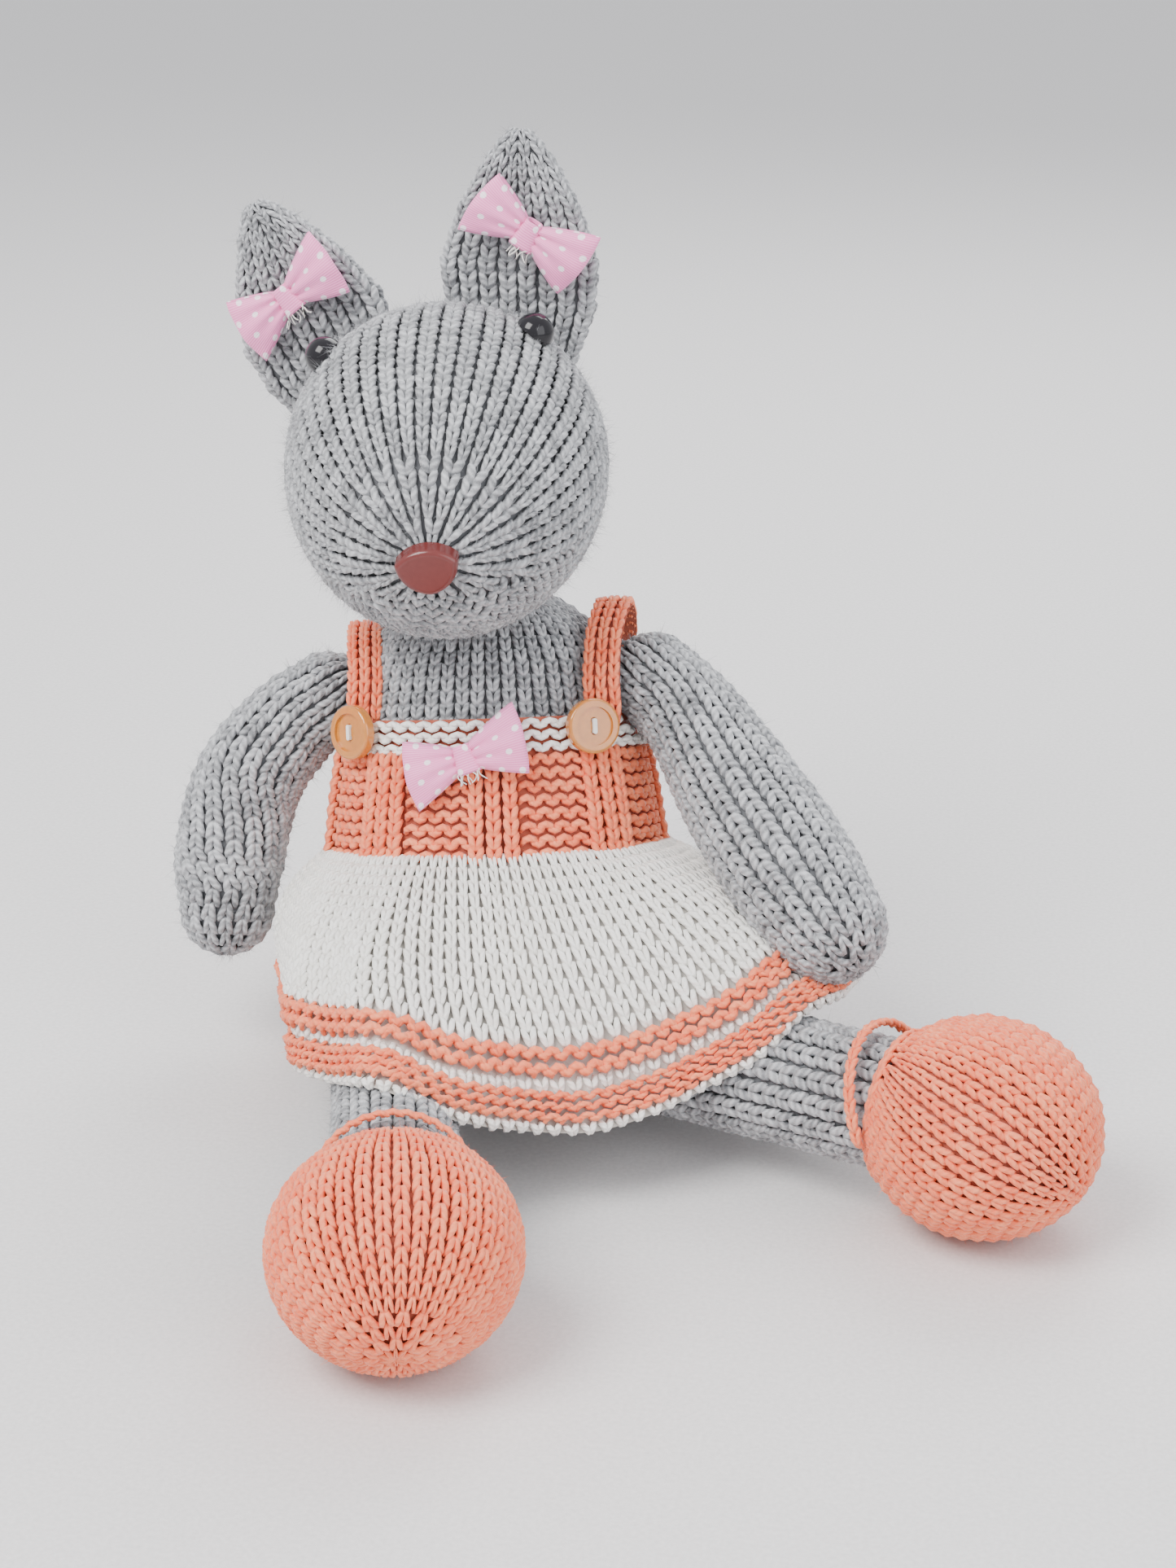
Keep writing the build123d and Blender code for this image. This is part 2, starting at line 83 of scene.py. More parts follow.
def make_mesh(name, points, quads, triangles, yarn=None, uv=None, smooth=True):
    """A mesh object from points in millimetres and the corner numbers of its faces."""
    mesh = bpy.data.meshes.new(name)
    quads = np.asarray(quads, np.int32).reshape(-1, 4)
    triangles = np.asarray(triangles, np.int32).reshape(-1, 3)
    corners = np.concatenate([quads.ravel(), triangles.ravel()])
    starts = np.concatenate([
        np.arange(len(quads)) * 4,
        len(quads) * 4 + np.arange(len(triangles)) * 3,
    ])
    mesh.vertices.add(len(points))
    mesh.vertices.foreach_set("co", (np.asarray(points) * MM).astype(np.float32).ravel())
    mesh.loops.add(len(corners))
    mesh.loops.foreach_set("vertex_index", corners.astype(np.int32))
    mesh.polygons.add(len(starts))
    mesh.polygons.foreach_set("loop_start", starts.astype(np.int32))
    mesh.polygons.foreach_set("use_smooth", np.full(len(starts), smooth))
    if yarn is not None:
        layer = mesh.attributes.new("yarn", "FLOAT_VECTOR", "POINT")
        layer.data.foreach_set("vector", np.asarray(yarn, np.float32).ravel())
    if uv is not None:
        layer = mesh.uv_layers.new(name="UVMap")
        layer.data.foreach_set("uv", np.asarray(uv, np.float32)[corners].ravel())
    mesh.update(calc_edges=True)
    mesh.validate()
    obj = bpy.data.objects.new(name, mesh)
    bpy.context.scene.collection.objects.link(obj)
    return obj


def grid_faces(rows, columns, closed):
    """The corner numbers of the quads of a grid of points, joined round when closed."""
    row, column = np.meshgrid(np.arange(rows - 1), np.arange(columns - (not closed)), indexing="ij")
    after = (column + 1) % columns
    quads = [row * columns + column, row * columns + after,
             (row + 1) * columns + after, (row + 1) * columns + column]
    return np.stack(quads, -1).reshape(-1, 4)


def strand(points, radii, sides=5):
    """A short closed strand: a ring of corners round each point, and a tip at both ends."""
    points, radii = np.array(points, float), np.array(radii, float)
    tangent = unit(np.gradient(points, axis=0))
    side = unit(np.cross(tangent, [0, 0, 1.0]))
    lift = np.cross(side, tangent)
    angle = 2 * np.pi * np.arange(sides) / sides - np.pi / 2
    ring = (np.cos(angle)[None, :, None] * side[:, None] + np.sin(angle)[None, :, None] * lift[:, None])
    body = points[:, None] + ring * radii[:, None, None]
    tips = np.array([points[0] - tangent[0] * radii[0] * 0.7, points[-1] + tangent[-1] * radii[-1] * 0.7])
    count = len(points) * sides
    quads = grid_faces(len(points), sides, True)
    here = np.arange(sides)
    after = (here + 1) % sides
    first = np.stack([after, here, np.full(sides, count)], -1)
    last = np.stack([count - sides + here, count - sides + after, np.full(sides, count + 1)], -1)
    steps = np.linalg.norm(np.diff(points, axis=0), axis=1)
    along = np.concatenate([[0], np.cumsum(steps)])
    around = np.tile(here / sides, len(points))
    marks = np.stack([np.repeat(along, sides), around], -1)
    marks = np.concatenate([marks, [[0, 0.5], [along[-1], 0.5]]])
    co = np.concatenate([body.reshape(-1, 3), tips])
    triangles = np.concatenate([first, last])
    middle = co[quads].mean(axis=1) - co.mean(axis=0)
    turned = np.cross(co[quads[:, 1]] - co[quads[:, 0]], co[quads[:, 2]] - co[quads[:, 0]])
    if (middle * turned).sum() < 0:
        quads, triangles = quads[:, ::-1], triangles[:, ::-1]
    return {"co": co, "marks": marks, "quads": quads, "triangles": triangles}


def mirrored(shape):
    """The same strand the other way round in x, with its faces still outward."""
    return {"co": shape["co"] * [-1, 1, 1], "marks": shape["marks"],
            "quads": shape["quads"][:, ::-1], "triangles": shape["triangles"][:, ::-1]}


# %% [markdown]
# ## The stitches
# A knit stitch shows as a V: two short legs of yarn that dive under the stitch above. A purl
# stitch shows as a low bump with a dip between it and the next. Both are drawn for a stitch 4 mm
# wide and 3 mm high, and are stretched to fit where they go.

# %% Stitch shapes
STITCH_WIDTH, STITCH_HEIGHT = 4.0, 3.0
RIGHT_LEG = strand(
    [(0.3, -2.0, -0.8), (0.52, -1.1, 0.25), (0.86, 0.2, 0.55), (1.22, 1.35, 0.1), (1.3, 2.0, -0.7)],
    [0.5, 0.8, 0.88, 0.78, 0.48],
)
KNIT = [RIGHT_LEG, mirrored(RIGHT_LEG)]
PURL = [
    strand([(-1.9, -0.75, -0.6), (-1.2, 0.15, 0.25), (0, 0.55, 0.6), (1.2, 0.15, 0.25), (1.9, -0.75, -0.6)],
           [0.6, 0.85, 0.9, 0.85, 0.6]),
    strand([(0.3, 0.4, -0.5), (1.0, -0.6, 0.1), (2.0, -1.0, 0.35), (3.0, -0.6, 0.1), (3.7, 0.4, -0.5)],
           [0.55, 0.78, 0.82, 0.78, 0.55]),
]
print("faces in a knit stitch:", sum(len(s["quads"]) + len(s["triangles"]) for s in KNIT))


def lay_stitches(shapes, spots):
    """Points, faces and yarn marks of the strands laid at every spot, each stretched to its stitch."""
    size = np.stack([spots["w"] / STITCH_WIDTH, spots["h"] / STITCH_HEIGHT, spots["d"]], -1)
    parts = []
    for shape in shapes:
        local = shape["co"][None] * size[:, None]
        co = (spots["p"][:, None] + local[..., :1] * spots["u"][:, None]
              + local[..., 1:2] * spots["v"][:, None] + local[..., 2:] * spots["n"][:, None])
        count = len(shape["co"])
        shift = (np.arange(len(spots["p"])) * count)[:, None, None]
        marks = np.broadcast_to(shape["marks"][None], (len(co), count, 2)).copy()
        marks[..., 0] += spots["r"][:, None] * 7
        yarn = np.concatenate([marks, np.broadcast_to(spots["r"][:, None, None], (len(co), count, 1))], -1)
        parts.append((co.reshape(-1, 3), (shape["quads"][None] + shift).reshape(-1, 4),
                      (shape["triangles"][None] + shift).reshape(-1, 3), yarn.reshape(-1, 3)))
    return parts


def join_parts(name, parts, floor=0.15):
    """One object from several sets of points and faces, kept off the surface the doll sits on."""
    offset, points, quads, triangles, yarn = 0, [], [], [], []
    for co, four, three, marks in parts:
        points.append(co)
        quads.append(four + offset)
        triangles.append(three + offset)
        yarn.append(marks)
        offset += len(co)
    co = np.concatenate(points)
    co[:, 2] = np.maximum(co[:, 2], floor)
    return make_mesh(name, co, np.concatenate(quads), np.concatenate(triangles), np.concatenate(yarn))


def pick(spots, keep):
    """The spots for which keep is true."""
    return {key: value[keep] for key, value in spots.items()}


# %% [markdown]
# ## Where the stitches go
# Every form is a function from (u, v) to a point: u runs round a row of knitting and v up the
# columns. Rows are spaced evenly along the form. Each row is divided into columns of equal width,
# and where a row gets short its columns are halved in number, which is what a decrease does.


# %% Laying out rows and columns
def spots_on(surface, row, column, closed=True, low=0.0, high=1.0,
             thin=0.6, depth=1.0, loose=0.06):
    """The place, directions and size of each stitch of a form."""
    many = np.linspace(low, high, 301)
    across = np.linspace(0, 1, 17)[:, None]
    steps = np.linalg.norm(np.diff(surface(across + 0 * many, many + 0 * across), axis=1), axis=2)
    length = np.concatenate([[0], np.cumsum(steps.mean(axis=0))])
    rows = max(1, round(length[-1] / row))
    edges = np.interp(np.arange(rows + 1) * length[-1] / rows, length, many)
    fine = np.linspace(0, 1, 241)
    middles = (edges[1:] + edges[:-1]) / 2
    rings = surface(fine[None] + 0 * middles[:, None], middles[:, None] + 0 * fine[None])
    ring_steps = np.linalg.norm(np.diff(rings, axis=1), axis=2)
    rounds = np.concatenate([np.zeros((rows, 1)), np.cumsum(ring_steps, axis=1)], axis=1)
    full = max(1, round(rounds[:, -1].max() / column))
    if closed:
        full = max(8, full // 8 * 8)
    us, vs, ws, lows, highs, rs, cs = [], [], [], [], [], [], []
    for r in range(rows):
        count = full
        while count >= 16 and rounds[r, -1] / count < thin * column:
            count //= 2
        place = (np.arange(count) + 0.5) / count * rounds[r, -1]
        us.append(np.interp(place, rounds[r], fine))
        vs.append(np.full(count, middles[r]))
        ws.append(np.full(count, rounds[r, -1] / count))
        lows.append(np.full(count, edges[r]))
        highs.append(np.full(count, edges[r + 1]))
        rs.append(np.full(count, r))
        cs.append((np.arange(count) + 0.5) / count * full)
    u, v, w = np.concatenate(us), np.concatenate(vs), np.concatenate(ws)
    lows, highs = np.concatenate(lows), np.concatenate(highs)
    spot = surface(u, v)
    e = 1e-3
    du = surface(u + e, v) - surface(u - e, v)
    climb = surface(u, highs) - surface(u, lows)
    n = unit(np.cross(du, climb))
    n = n * facing_out(spot, n)
    up = unit(climb - n * (climb * n).sum(axis=1, keepdims=True))
    side = np.cross(up, n)
    height = np.linalg.norm(climb, axis=1)
    jitter = rng.normal(0, loose, (len(u), 3))
    spot = spot + jitter[:, :1] * side + jitter[:, 1:2] * up + jitter[:, 2:] * n
    return {"p": spot, "u": side, "v": up, "n": n, "w": w, "h": height,
            "d": np.full(len(u), depth), "r": rng.random(len(u)), "row": np.concatenate(rs),
            "col": np.concatenate(cs), "uu": u, "vv": v, "rows": np.full(len(u), rows),
            "cols": np.full(len(u), full)}


def facing_out(points, normals):
    """1 when the normals point away from the middle of the points, and -1 when they point to it."""
    points, normals = points.reshape(-1, 3), normals.reshape(-1, 3)
    return 1 if ((points - points.mean(axis=0)) * normals).sum() > 0 else -1


def skin(name, surface, inset, around=96, along=72, closed=True, capped=True, floor=0.6, outward=None):
    """The plain form under the stitches, a little smaller, with its ends drawn to a point."""
    u = np.arange(around) / around if closed else np.linspace(0, 1, around)
    v = np.linspace(0, 1, along)
    if capped:
        v = v[1:-1]
    u, v = u[None] + 0 * v[:, None], v[:, None] + 0 * u[None]
    e = 1e-3
    du = surface(u + e, v) - surface(u - e, v)
    dv = surface(u, np.minimum(v + e, 1)) - surface(u, np.maximum(v - e, 0))
    n = unit(np.cross(du, dv))
    outward = outward or facing_out(surface(u, v), n)
    grid = surface(u, v) - n * outward * inset
    rows, columns = grid.shape[:2]
    quads = grid_faces(rows, columns, closed)
    points = grid.reshape(-1, 3)
    triangles = np.zeros((0, 3), int)
    if capped:
        here = np.arange(columns)
        after = (here + 1) % columns
        points = np.concatenate([points, [grid[0].mean(axis=0)], [grid[-1].mean(axis=0)]])
        foot = np.stack([after, here, np.full(columns, rows * columns)], -1)
        head = np.stack([(rows - 1) * columns + here, (rows - 1) * columns + after,
                         np.full(columns, rows * columns + 1)], -1)
        triangles = np.concatenate([foot, head])
    points[:, 2] = np.maximum(points[:, 2], floor)
    if outward < 0:
        quads, triangles = quads[:, ::-1], triangles[:, ::-1]
    return make_mesh(name, points, quads, triangles)


def smooth_line(stops, count=200):
    """A smooth line through a few stops: a Catmull-Rom curve, sampled evenly along its length."""
    stops = np.array(stops, float)
    padded_stops = np.concatenate([[2 * stops[0] - stops[1]], stops, [2 * stops[-1] - stops[-2]]])
    t = np.linspace(0, len(stops) - 1 - 1e-9, count * 4)
    i = t.astype(int)
    f = (t - i)[:, None]
    a, b, c, d = padded_stops[i], padded_stops[i + 1], padded_stops[i + 2], padded_stops[i + 3]
    line = 0.5 * (2 * b + (c - a) * f + (2 * a - 5 * b + 4 * c - d) * f**2 + (3 * b - a - 3 * c + d) * f**3)
    length = np.concatenate([[0], np.cumsum(np.linalg.norm(np.diff(line[:, :3], axis=0), axis=1))])
    even = np.linspace(0, length[-1], count)
    return np.stack([np.interp(even, length, line[:, k]) for k in range(line.shape[1])], -1)


def tube_form(stops, radii):
    """A round-ended tube. Its outline is a quarter circle, the line of radii, and a quarter circle."""
    line = smooth_line(np.column_stack([stops, radii]))
    step = np.linalg.norm(np.diff(line[:, :3], axis=0), axis=1)
    length = np.concatenate([[0], np.cumsum(step)])
    angle = np.linspace(0, np.pi / 2, 40)
    first, last = line[0, 3], line[-1, 3]
    t = np.concatenate([-first * np.cos(angle), length[1:-1], length[-1] + last * np.sin(angle)])
    r = np.concatenate([first * np.sin(angle), line[1:-1, 3], last * np.cos(angle)])
    outline = np.concatenate([[0], np.cumsum(np.hypot(np.diff(t), np.diff(r)))])
    outline /= outline[-1]
    tangent = unit(np.gradient(line[:, :3], axis=0))
    side = unit(np.cross(tangent, [0, 0, 1.0]))
    lift = np.cross(side, tangent)

    def surface(u, v):
        u, v = np.broadcast_arrays(np.asarray(u, float), np.asarray(v, float))
        here, radius = np.interp(v, outline, t), np.interp(v, outline, r)
        inside = np.clip(here, 0, length[-1])
        pieces = [np.stack([np.interp(inside, length, a[:, k]) for k in range(3)], -1)
                  for a in (line[:, :3], tangent, side, lift)]
        centre = pieces[0] + pieces[1] * (here - inside)[..., None]
        turn = 2 * np.pi * u
        return centre + radius[..., None] * (np.cos(turn)[..., None] * pieces[2]
                                             + np.sin(turn)[..., None] * pieces[3])
    return surface


# %% [markdown]
# ## Materials
# Yarn is two or three plies twisted together. The twist, the fluff on it and the way one grey ply
# is lighter than the other are worked out from the "yarn" marks, so they follow every stitch.
# The darker ply colour lies where the ply bump is low, so it is partly the grey's marl and partly
# painted shade in the twist grooves; on the coral and white yarns it is painted shade.


# %% Shader helpers
def socket(tree, node, value):
    """Links a socket or sets a plain value on it."""
    if isinstance(value, bpy.types.NodeSocket):
        tree.links.new(value, node)
    else:
        node.default_value = value


def calc(tree, operation, a, b=0.0, c=0.0, clamp=False):
    """One sum in a shader."""
    node = tree.nodes.new("ShaderNodeMath")
    node.operation = operation
    node.use_clamp = clamp
    for i, value in enumerate((a, b, c)):
        socket(tree, node.inputs[i], value)
    return node.outputs[0]


def mix(tree, share, a, b):
    """A colour between two colours."""
    node = tree.nodes.new("ShaderNodeMix")
    node.data_type = "RGBA"
    socket(tree, node.inputs["Factor"], share)
    socket(tree, node.inputs[6], a)
    socket(tree, node.inputs[7], b)
    return node.outputs[2]


def noise(tree, vector, scale, detail=2.0):
    """Soft noise at a scale, in millimetres of its coordinates."""
    node = tree.nodes.new("ShaderNodeTexNoise")
    socket(tree, node.inputs["Vector"], vector)
    node.inputs["Scale"].default_value = scale
    node.inputs["Detail"].default_value = detail
    return node.outputs["Fac"]


def yarn_group():
    """The look of twisted yarn: inputs are its colours, outputs its colour and its height."""
    tree = bpy.data.node_groups.new("Twisted yarn", "ShaderNodeTree")
    for name, kind in (("Light", "NodeSocketColor"), ("Dark", "NodeSocketColor"),
                       ("Twist", "NodeSocketFloat"), ("Marl", "NodeSocketFloat")):
        tree.interface.new_socket(name, in_out="INPUT", socket_type=kind)
    tree.interface.new_socket("Color", in_out="OUTPUT", socket_type="NodeSocketColor")
    tree.interface.new_socket("Height", in_out="OUTPUT", socket_type="NodeSocketFloat")
    given = tree.nodes.new("NodeGroupInput")
    result = tree.nodes.new("NodeGroupOutput")
    marks = tree.nodes.new("ShaderNodeAttribute")
    marks.attribute_name = "yarn"
    parts = tree.nodes.new("ShaderNodeSeparateXYZ")
    tree.links.new(marks.outputs["Vector"], parts.inputs[0])
    place = tree.nodes.new("ShaderNodeTexCoord").outputs["Object"]
    turns = calc(tree, "ADD", calc(tree, "MULTIPLY", parts.outputs[0], given.outputs["Twist"]),
                 calc(tree, "MULTIPLY", parts.outputs[1], 2 * math.pi * 2))
    ply = calc(tree, "MULTIPLY_ADD", calc(tree, "SINE", turns), 0.5, 0.5)
    fluff = noise(tree, place, 2600.0, 3.0)
    cloud = noise(tree, place, 260.0, 2.0)
    share = calc(tree, "MULTIPLY", calc(tree, "SUBTRACT", cloud, 0.5), 0.9)
    share = calc(tree, "MULTIPLY_ADD", calc(tree, "SUBTRACT", fluff, 0.5), 0.8, share)
    # Painted shade: the colour is lighter where the ply bump is high and darker where it is low, as shade
    # in the twist grooves; on the grey yarn it is also the real marl.
    marl_and_groove_shade = calc(tree, "MULTIPLY", calc(tree, "SUBTRACT", ply, 0.5), given.outputs["Marl"])
    share = calc(tree, "ADD", share, marl_and_groove_shade)
    share = calc(tree, "MULTIPLY_ADD", calc(tree, "SUBTRACT", parts.outputs[2], 0.5), 0.45, share)
    share = calc(tree, "ADD", share, 0.5, clamp=True)
    tree.links.new(mix(tree, share, given.outputs["Dark"], given.outputs["Light"]), result.inputs["Color"])
    height = calc(tree, "MULTIPLY_ADD", fluff, 0.7, ply)
    tree.links.new(height, result.inputs["Height"])
    return tree


YARN = yarn_group()


def yarn_material(name, light, dark, marl_and_groove_shade, sheen, twist=4.0):
    """A yarn's material, from its light and dark shades."""
    made = bpy.data.materials.new(name)
    made.use_nodes = True
    tree = made.node_tree
    shader = tree.nodes["Principled BSDF"]
    group = tree.nodes.new("ShaderNodeGroup")
    group.node_tree = YARN
    group.inputs["Light"].default_value = (*light, 1)
    group.inputs["Dark"].default_value = (*dark, 1)
    group.inputs["Twist"].default_value = twist
    group.inputs["Marl"].default_value = marl_and_groove_shade
    tree.links.new(group.outputs["Color"], shader.inputs["Base Color"])
    bump = tree.nodes.new("ShaderNodeBump")
    bump.inputs["Strength"].default_value = 0.55
    bump.inputs["Distance"].default_value = 0.0003
    tree.links.new(group.outputs["Height"], bump.inputs["Height"])
    tree.links.new(bump.outputs["Normal"], shader.inputs["Normal"])
    shader.inputs["Roughness"].default_value = 0.62
    shader.inputs["Sheen Weight"].default_value = sheen
    shader.inputs["Sheen Roughness"].default_value = 0.4
    shader.inputs["Specular IOR Level"].default_value = 0.35
    return made


# The fourth number weights the ply colour: real marl plus painted groove shade on the grey, painted groove
# shade on the coral and white.
GREY = yarn_material("Grey marled yarn", (0.53, 0.54, 0.56), (0.17, 0.175, 0.185), 0.5, 0.35)
CORAL = yarn_material("Coral yarn", (1.0, 0.31, 0.15), (0.86, 0.15, 0.06), 0.25, 0.2)
WHITE = yarn_material("White yarn", (0.95, 0.94, 0.91), (0.8, 0.78, 0.73), 0.3, 0.25)


def plain_material(name, color, roughness, **more):
    """A smooth material with faint mottling, for moulded pieces and the forms under the stitches."""
    made = bpy.data.materials.new(name)
    made.use_nodes = True
    tree = made.node_tree
    shader = tree.nodes["Principled BSDF"]
    place = tree.nodes.new("ShaderNodeTexCoord").outputs["Object"]
    cloud = noise(tree, place, 900.0)
    dark = tuple(c * 0.75 for c in color)
    tree.links.new(mix(tree, cloud, (*dark, 1), (*color, 1)), shader.inputs["Base Color"])
    shader.inputs["Roughness"].default_value = roughness
    for key, value in more.items():
        shader.inputs[key.replace("_", " ")].default_value = value
    return made


# Painted shade: the forms under the stitches are coloured darker than their yarn, standing in for the shade
# in the gaps between stitches.
GREY_SHADE_SKIN = plain_material("Grey under the stitches", (0.13, 0.135, 0.145), 0.9)
CORAL_SHADE_SKIN = plain_material("Coral under the stitches", (0.5, 0.12, 0.07), 0.9)
WHITE_SHADE_SKIN = plain_material("White under the stitches", (0.6, 0.57, 0.53), 0.9)
EYE = plain_material("Black eye", (0.012, 0.011, 0.014), 0.12, Specular_IOR_Level=0.35)
NOSE = plain_material("Brown nose", (0.15, 0.03, 0.028), 0.2, Specular_IOR_Level=0.45)
AMBER = plain_material("Amber button", (0.93, 0.36, 0.05), 0.14, Transmission_Weight=0.45,
                       Coat_Weight=0.8, Coat_Roughness=0.05)
THREAD = plain_material("White thread", (0.86, 0.83, 0.78), 0.7)
WASHER = plain_material("Washer", (0.8, 0.8, 0.78), 0.5)


def paint(obj, material):
    """Gives a piece its material."""
    obj.data.materials.clear()
    obj.data.materials.append(material)
    return obj


# %% [markdown]
# ## Fuzz
# Loose fibres stand off the grey knitting and catch the light at its edges. Each is a thin bent
# strip a few millimetres long.


# %% Fuzz
def fuzz_parts(spots, count, reach, width=0.045):
    """Bent fibres that start at random stitches: each point is the start, plus a lean, plus a bend."""
    chosen = rng.integers(0, len(spots["p"]), count)
    start = spots["p"][chosen] + spots["n"][chosen] * 0.6
    lean = rng.normal(0, 0.75, (count, 2))
    way = unit(spots["n"][chosen] + lean[:, :1] * spots["u"][chosen] + lean[:, 1:] * spots["v"][chosen])
    bend = rng.normal(0, 0.5, (count, 3))
    length = reach * rng.uniform(0.4, 1.0, count)
    t = np.linspace(0, 1, 4)[None, :, None]
    line = start[:, None] + way[:, None] * (length[:, None, None] * t)
    line = line + bend[:, None] * (length[:, None, None] * t**2) * 0.6
    flat = unit(np.cross(way, rng.normal(0, 1, (count, 3))))
    half = flat[:, None] * (width * (1.1 - t))
    co = np.stack([line - half, line + half], axis=2).reshape(-1, 3)
    one = np.array([[0, 1, 3, 2], [2, 3, 5, 4], [4, 5, 7, 6]])
    quads = (one[None] + (np.arange(count) * 8)[:, None, None]).reshape(-1, 4)
    chance = np.repeat(rng.random(count), 8)
    yarn = np.stack([np.zeros(count * 8), np.full(count * 8, 0.5), chance], -1)
    return (co, quads, np.zeros((0, 3), int), yarn)


def knitted(name, shapes, spots, material, body=None, fuzz=0, reach=3.0):
    """Stitches of one kind as one object, with fuzz when asked, riding on a body."""
    parts = lay_stitches(shapes, spots)
    if fuzz:
        parts.append(fuzz_parts(spots, fuzz, reach))
    obj = paint(join_parts(name, parts), material)
    if body:
        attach(obj, body)
    return obj


# %% [markdown]
# ## Body
# A stuffed oval that leans back. Most of it is under the dress. The chest shows between the
# straps, in straight columns of knit stitches.

# %% Body form
BODY_UP = unit(np.array([-0.088, 0.305, 0.948]))
BODY_SIDE = unit(np.array([1, 0, 0]) - BODY_UP * BODY_UP[0])
BODY_BACK = np.cross(BODY_UP, BODY_SIDE)
SEAT = np.array([2.0, 0, 0])
BODY_SECTIONS = np.array([
    (-9, 0, 0), (-9, 18, 16), (0, 31, 27), (12, 36.5, 32), (30, 38.5, 34), (54, 38.2, 31), (70, 36, 28.5),
    (86, 33.2, 26.5), (98, 31, 24), (106, 26.5, 20.5), (111, 20, 17), (114, 15, 14.8), (117, 8, 8),
    (118, 0, 0),
])


def oval(height, half_x, half_y, u):
    """A point on an oval across the body: side by the cosine of the turn, back by its sine."""
    turn = 2 * np.pi * u
    return (SEAT + BODY_UP * height[..., None] + BODY_SIDE * (half_x * np.cos(turn))[..., None]
            + BODY_BACK * (half_y * np.sin(turn))[..., None])


body_steps = np.linalg.norm(np.diff(BODY_SECTIONS, axis=0), axis=1)
body_share = np.concatenate([[0], np.cumsum(body_steps)]) / body_steps.sum()


def body_form(u, v):
    """The body's oval sections, smaller by a little so that the stitches end at its real size."""
    u, v = np.broadcast_arrays(np.asarray(u, float), np.asarray(v, float))
    height, half_x, half_y = (np.interp(v, body_share, BODY_SECTIONS[:, k]) for k in range(3))
    point = oval(height, np.maximum(half_x - 1.1, 0.01), np.maximum(half_y - 1.1, 0.01), u)
    point[..., 2] = np.maximum(point[..., 2], 1.0)
    return point


body_skin = paint(skin("body_skin", body_form, 0.6, along=90), GREY_SHADE_SKIN)
body_spots = spots_on(body_form, 3.2, 4.0, low=0.03)
ARM_TOPS = np.array([(34, 25, 93.5), (-46, 26, 83.5)])
ARM_TOP_ROOM = 12.5
from_arms = np.linalg.norm(body_spots["p"][:, None] - ARM_TOPS[None], axis=2).min(axis=1)
body_knit = knitted("body_knit", KNIT, pick(body_spots, from_arms > ARM_TOP_ROOM), GREY, "torso", 1500, 2.5)
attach(body_skin, "torso")
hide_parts("body_cover", "body_stuffing")
print("body stitches:", len(body_spots["p"]))

# %% [markdown]
# ## Head
# An egg lying along the muzzle. The columns run back from the nose like ribs, and about half of
# them end above it in decreases. The chin is purl, which shows as small bumps.

# %% Head form
HEAD = np.array([-14.3, 22, 144.2])
HEAD_RADIUS, HEAD_BACK, HEAD_FRONT = 37.2, 36.0, 48.0
yaw, drop, roll = math.radians(7.5), math.radians(11), math.radians(7.5)
MUZZLE = np.array([math.sin(yaw) * math.cos(drop), -math.cos(yaw) * math.cos(drop), -math.sin(drop)])
level = unit(np.cross(np.array([0, 0, 1.0]), -MUZZLE))
level = level * np.sign(level[0])
crown = unit(np.cross(MUZZLE, level))
crown = crown * np.sign(crown[2])
HEAD_SIDE = level * math.cos(roll) + crown * math.sin(roll)
HEAD_UP = crown * math.cos(roll) - level * math.sin(roll)


def head_form(u, v):
    """The egg: along the muzzle by the cosine, out from it by the sine, of the angle from the nose."""
    u, v = np.broadcast_arrays(np.asarray(u, float), np.asarray(v, float))
    angle = np.pi * v
    reach = np.where(np.cos(angle) > 0, HEAD_FRONT - 1, HEAD_BACK - 1) * np.cos(angle)
    out = (HEAD_RADIUS - 1) * np.sin(angle)
    turn = 2 * np.pi * u + np.pi / 2
    around = np.cos(turn)[..., None] * HEAD_SIDE + np.sin(turn)[..., None] * HEAD_UP
    return HEAD + reach[..., None] * MUZZLE + out[..., None] * around


head_skin = paint(skin("head_skin", head_form, 0.7), GREY_SHADE_SKIN)
head_spots = spots_on(head_form, 3.3, 4.6, low=0.03, high=0.985, thin=0.62, loose=0.06)
NECK_HEIGHT, NECK_REACH, NOSE_REACH = 106, 16, 5
CHIN_BELOW, CHIN_REACH = -10, 42
neck_centre = SEAT + BODY_UP * NECK_HEIGHT
under = np.linalg.norm(head_spots["p"] - neck_centre, axis=1) < NECK_REACH
from_nose = np.linalg.norm(head_spots["p"] - (HEAD + MUZZLE * HEAD_FRONT), axis=1)
below = (head_spots["p"] - HEAD) @ HEAD_UP
chin = (below < CHIN_BELOW) & (from_nose < CHIN_REACH)
shown = ~under & (from_nose > NOSE_REACH)
head_knit = knitted("head_knit", KNIT, pick(head_spots, shown & ~chin), GREY, "head", 9000, 4.2)
chin_knit = knitted("chin_knit", PURL, pick(head_spots, shown & chin), GREY, "head", 1600, 3.0)
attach(head_skin, "head")
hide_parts("head_cover", "head_stuffing")
print("head stitches:", len(head_spots["p"]), "chin:", int(chin.sum()))

# %% [markdown]
# ## Eyes and nose
# The eyes are black domes on a shank and the nose is one moulded piece. The CAD shapes are
# right for these, so they only get their materials. Washers are hidden inside the head.

# %% Eyes and nose
for side in ("left", "right"):
    paint(frame["nodes"]["eye_" + side], EYE)
    paint(frame["nodes"]["eye_washer_" + side], WASHER)
paint(frame["nodes"]["nose"], NOSE)
paint(frame["nodes"]["nose_washer"], WASHER)

# %% [markdown]
# ## Neck and shoulder seams
# The head and arms are sewn on with a round of grey yarn. Each seam is a ring of slanted stitches.


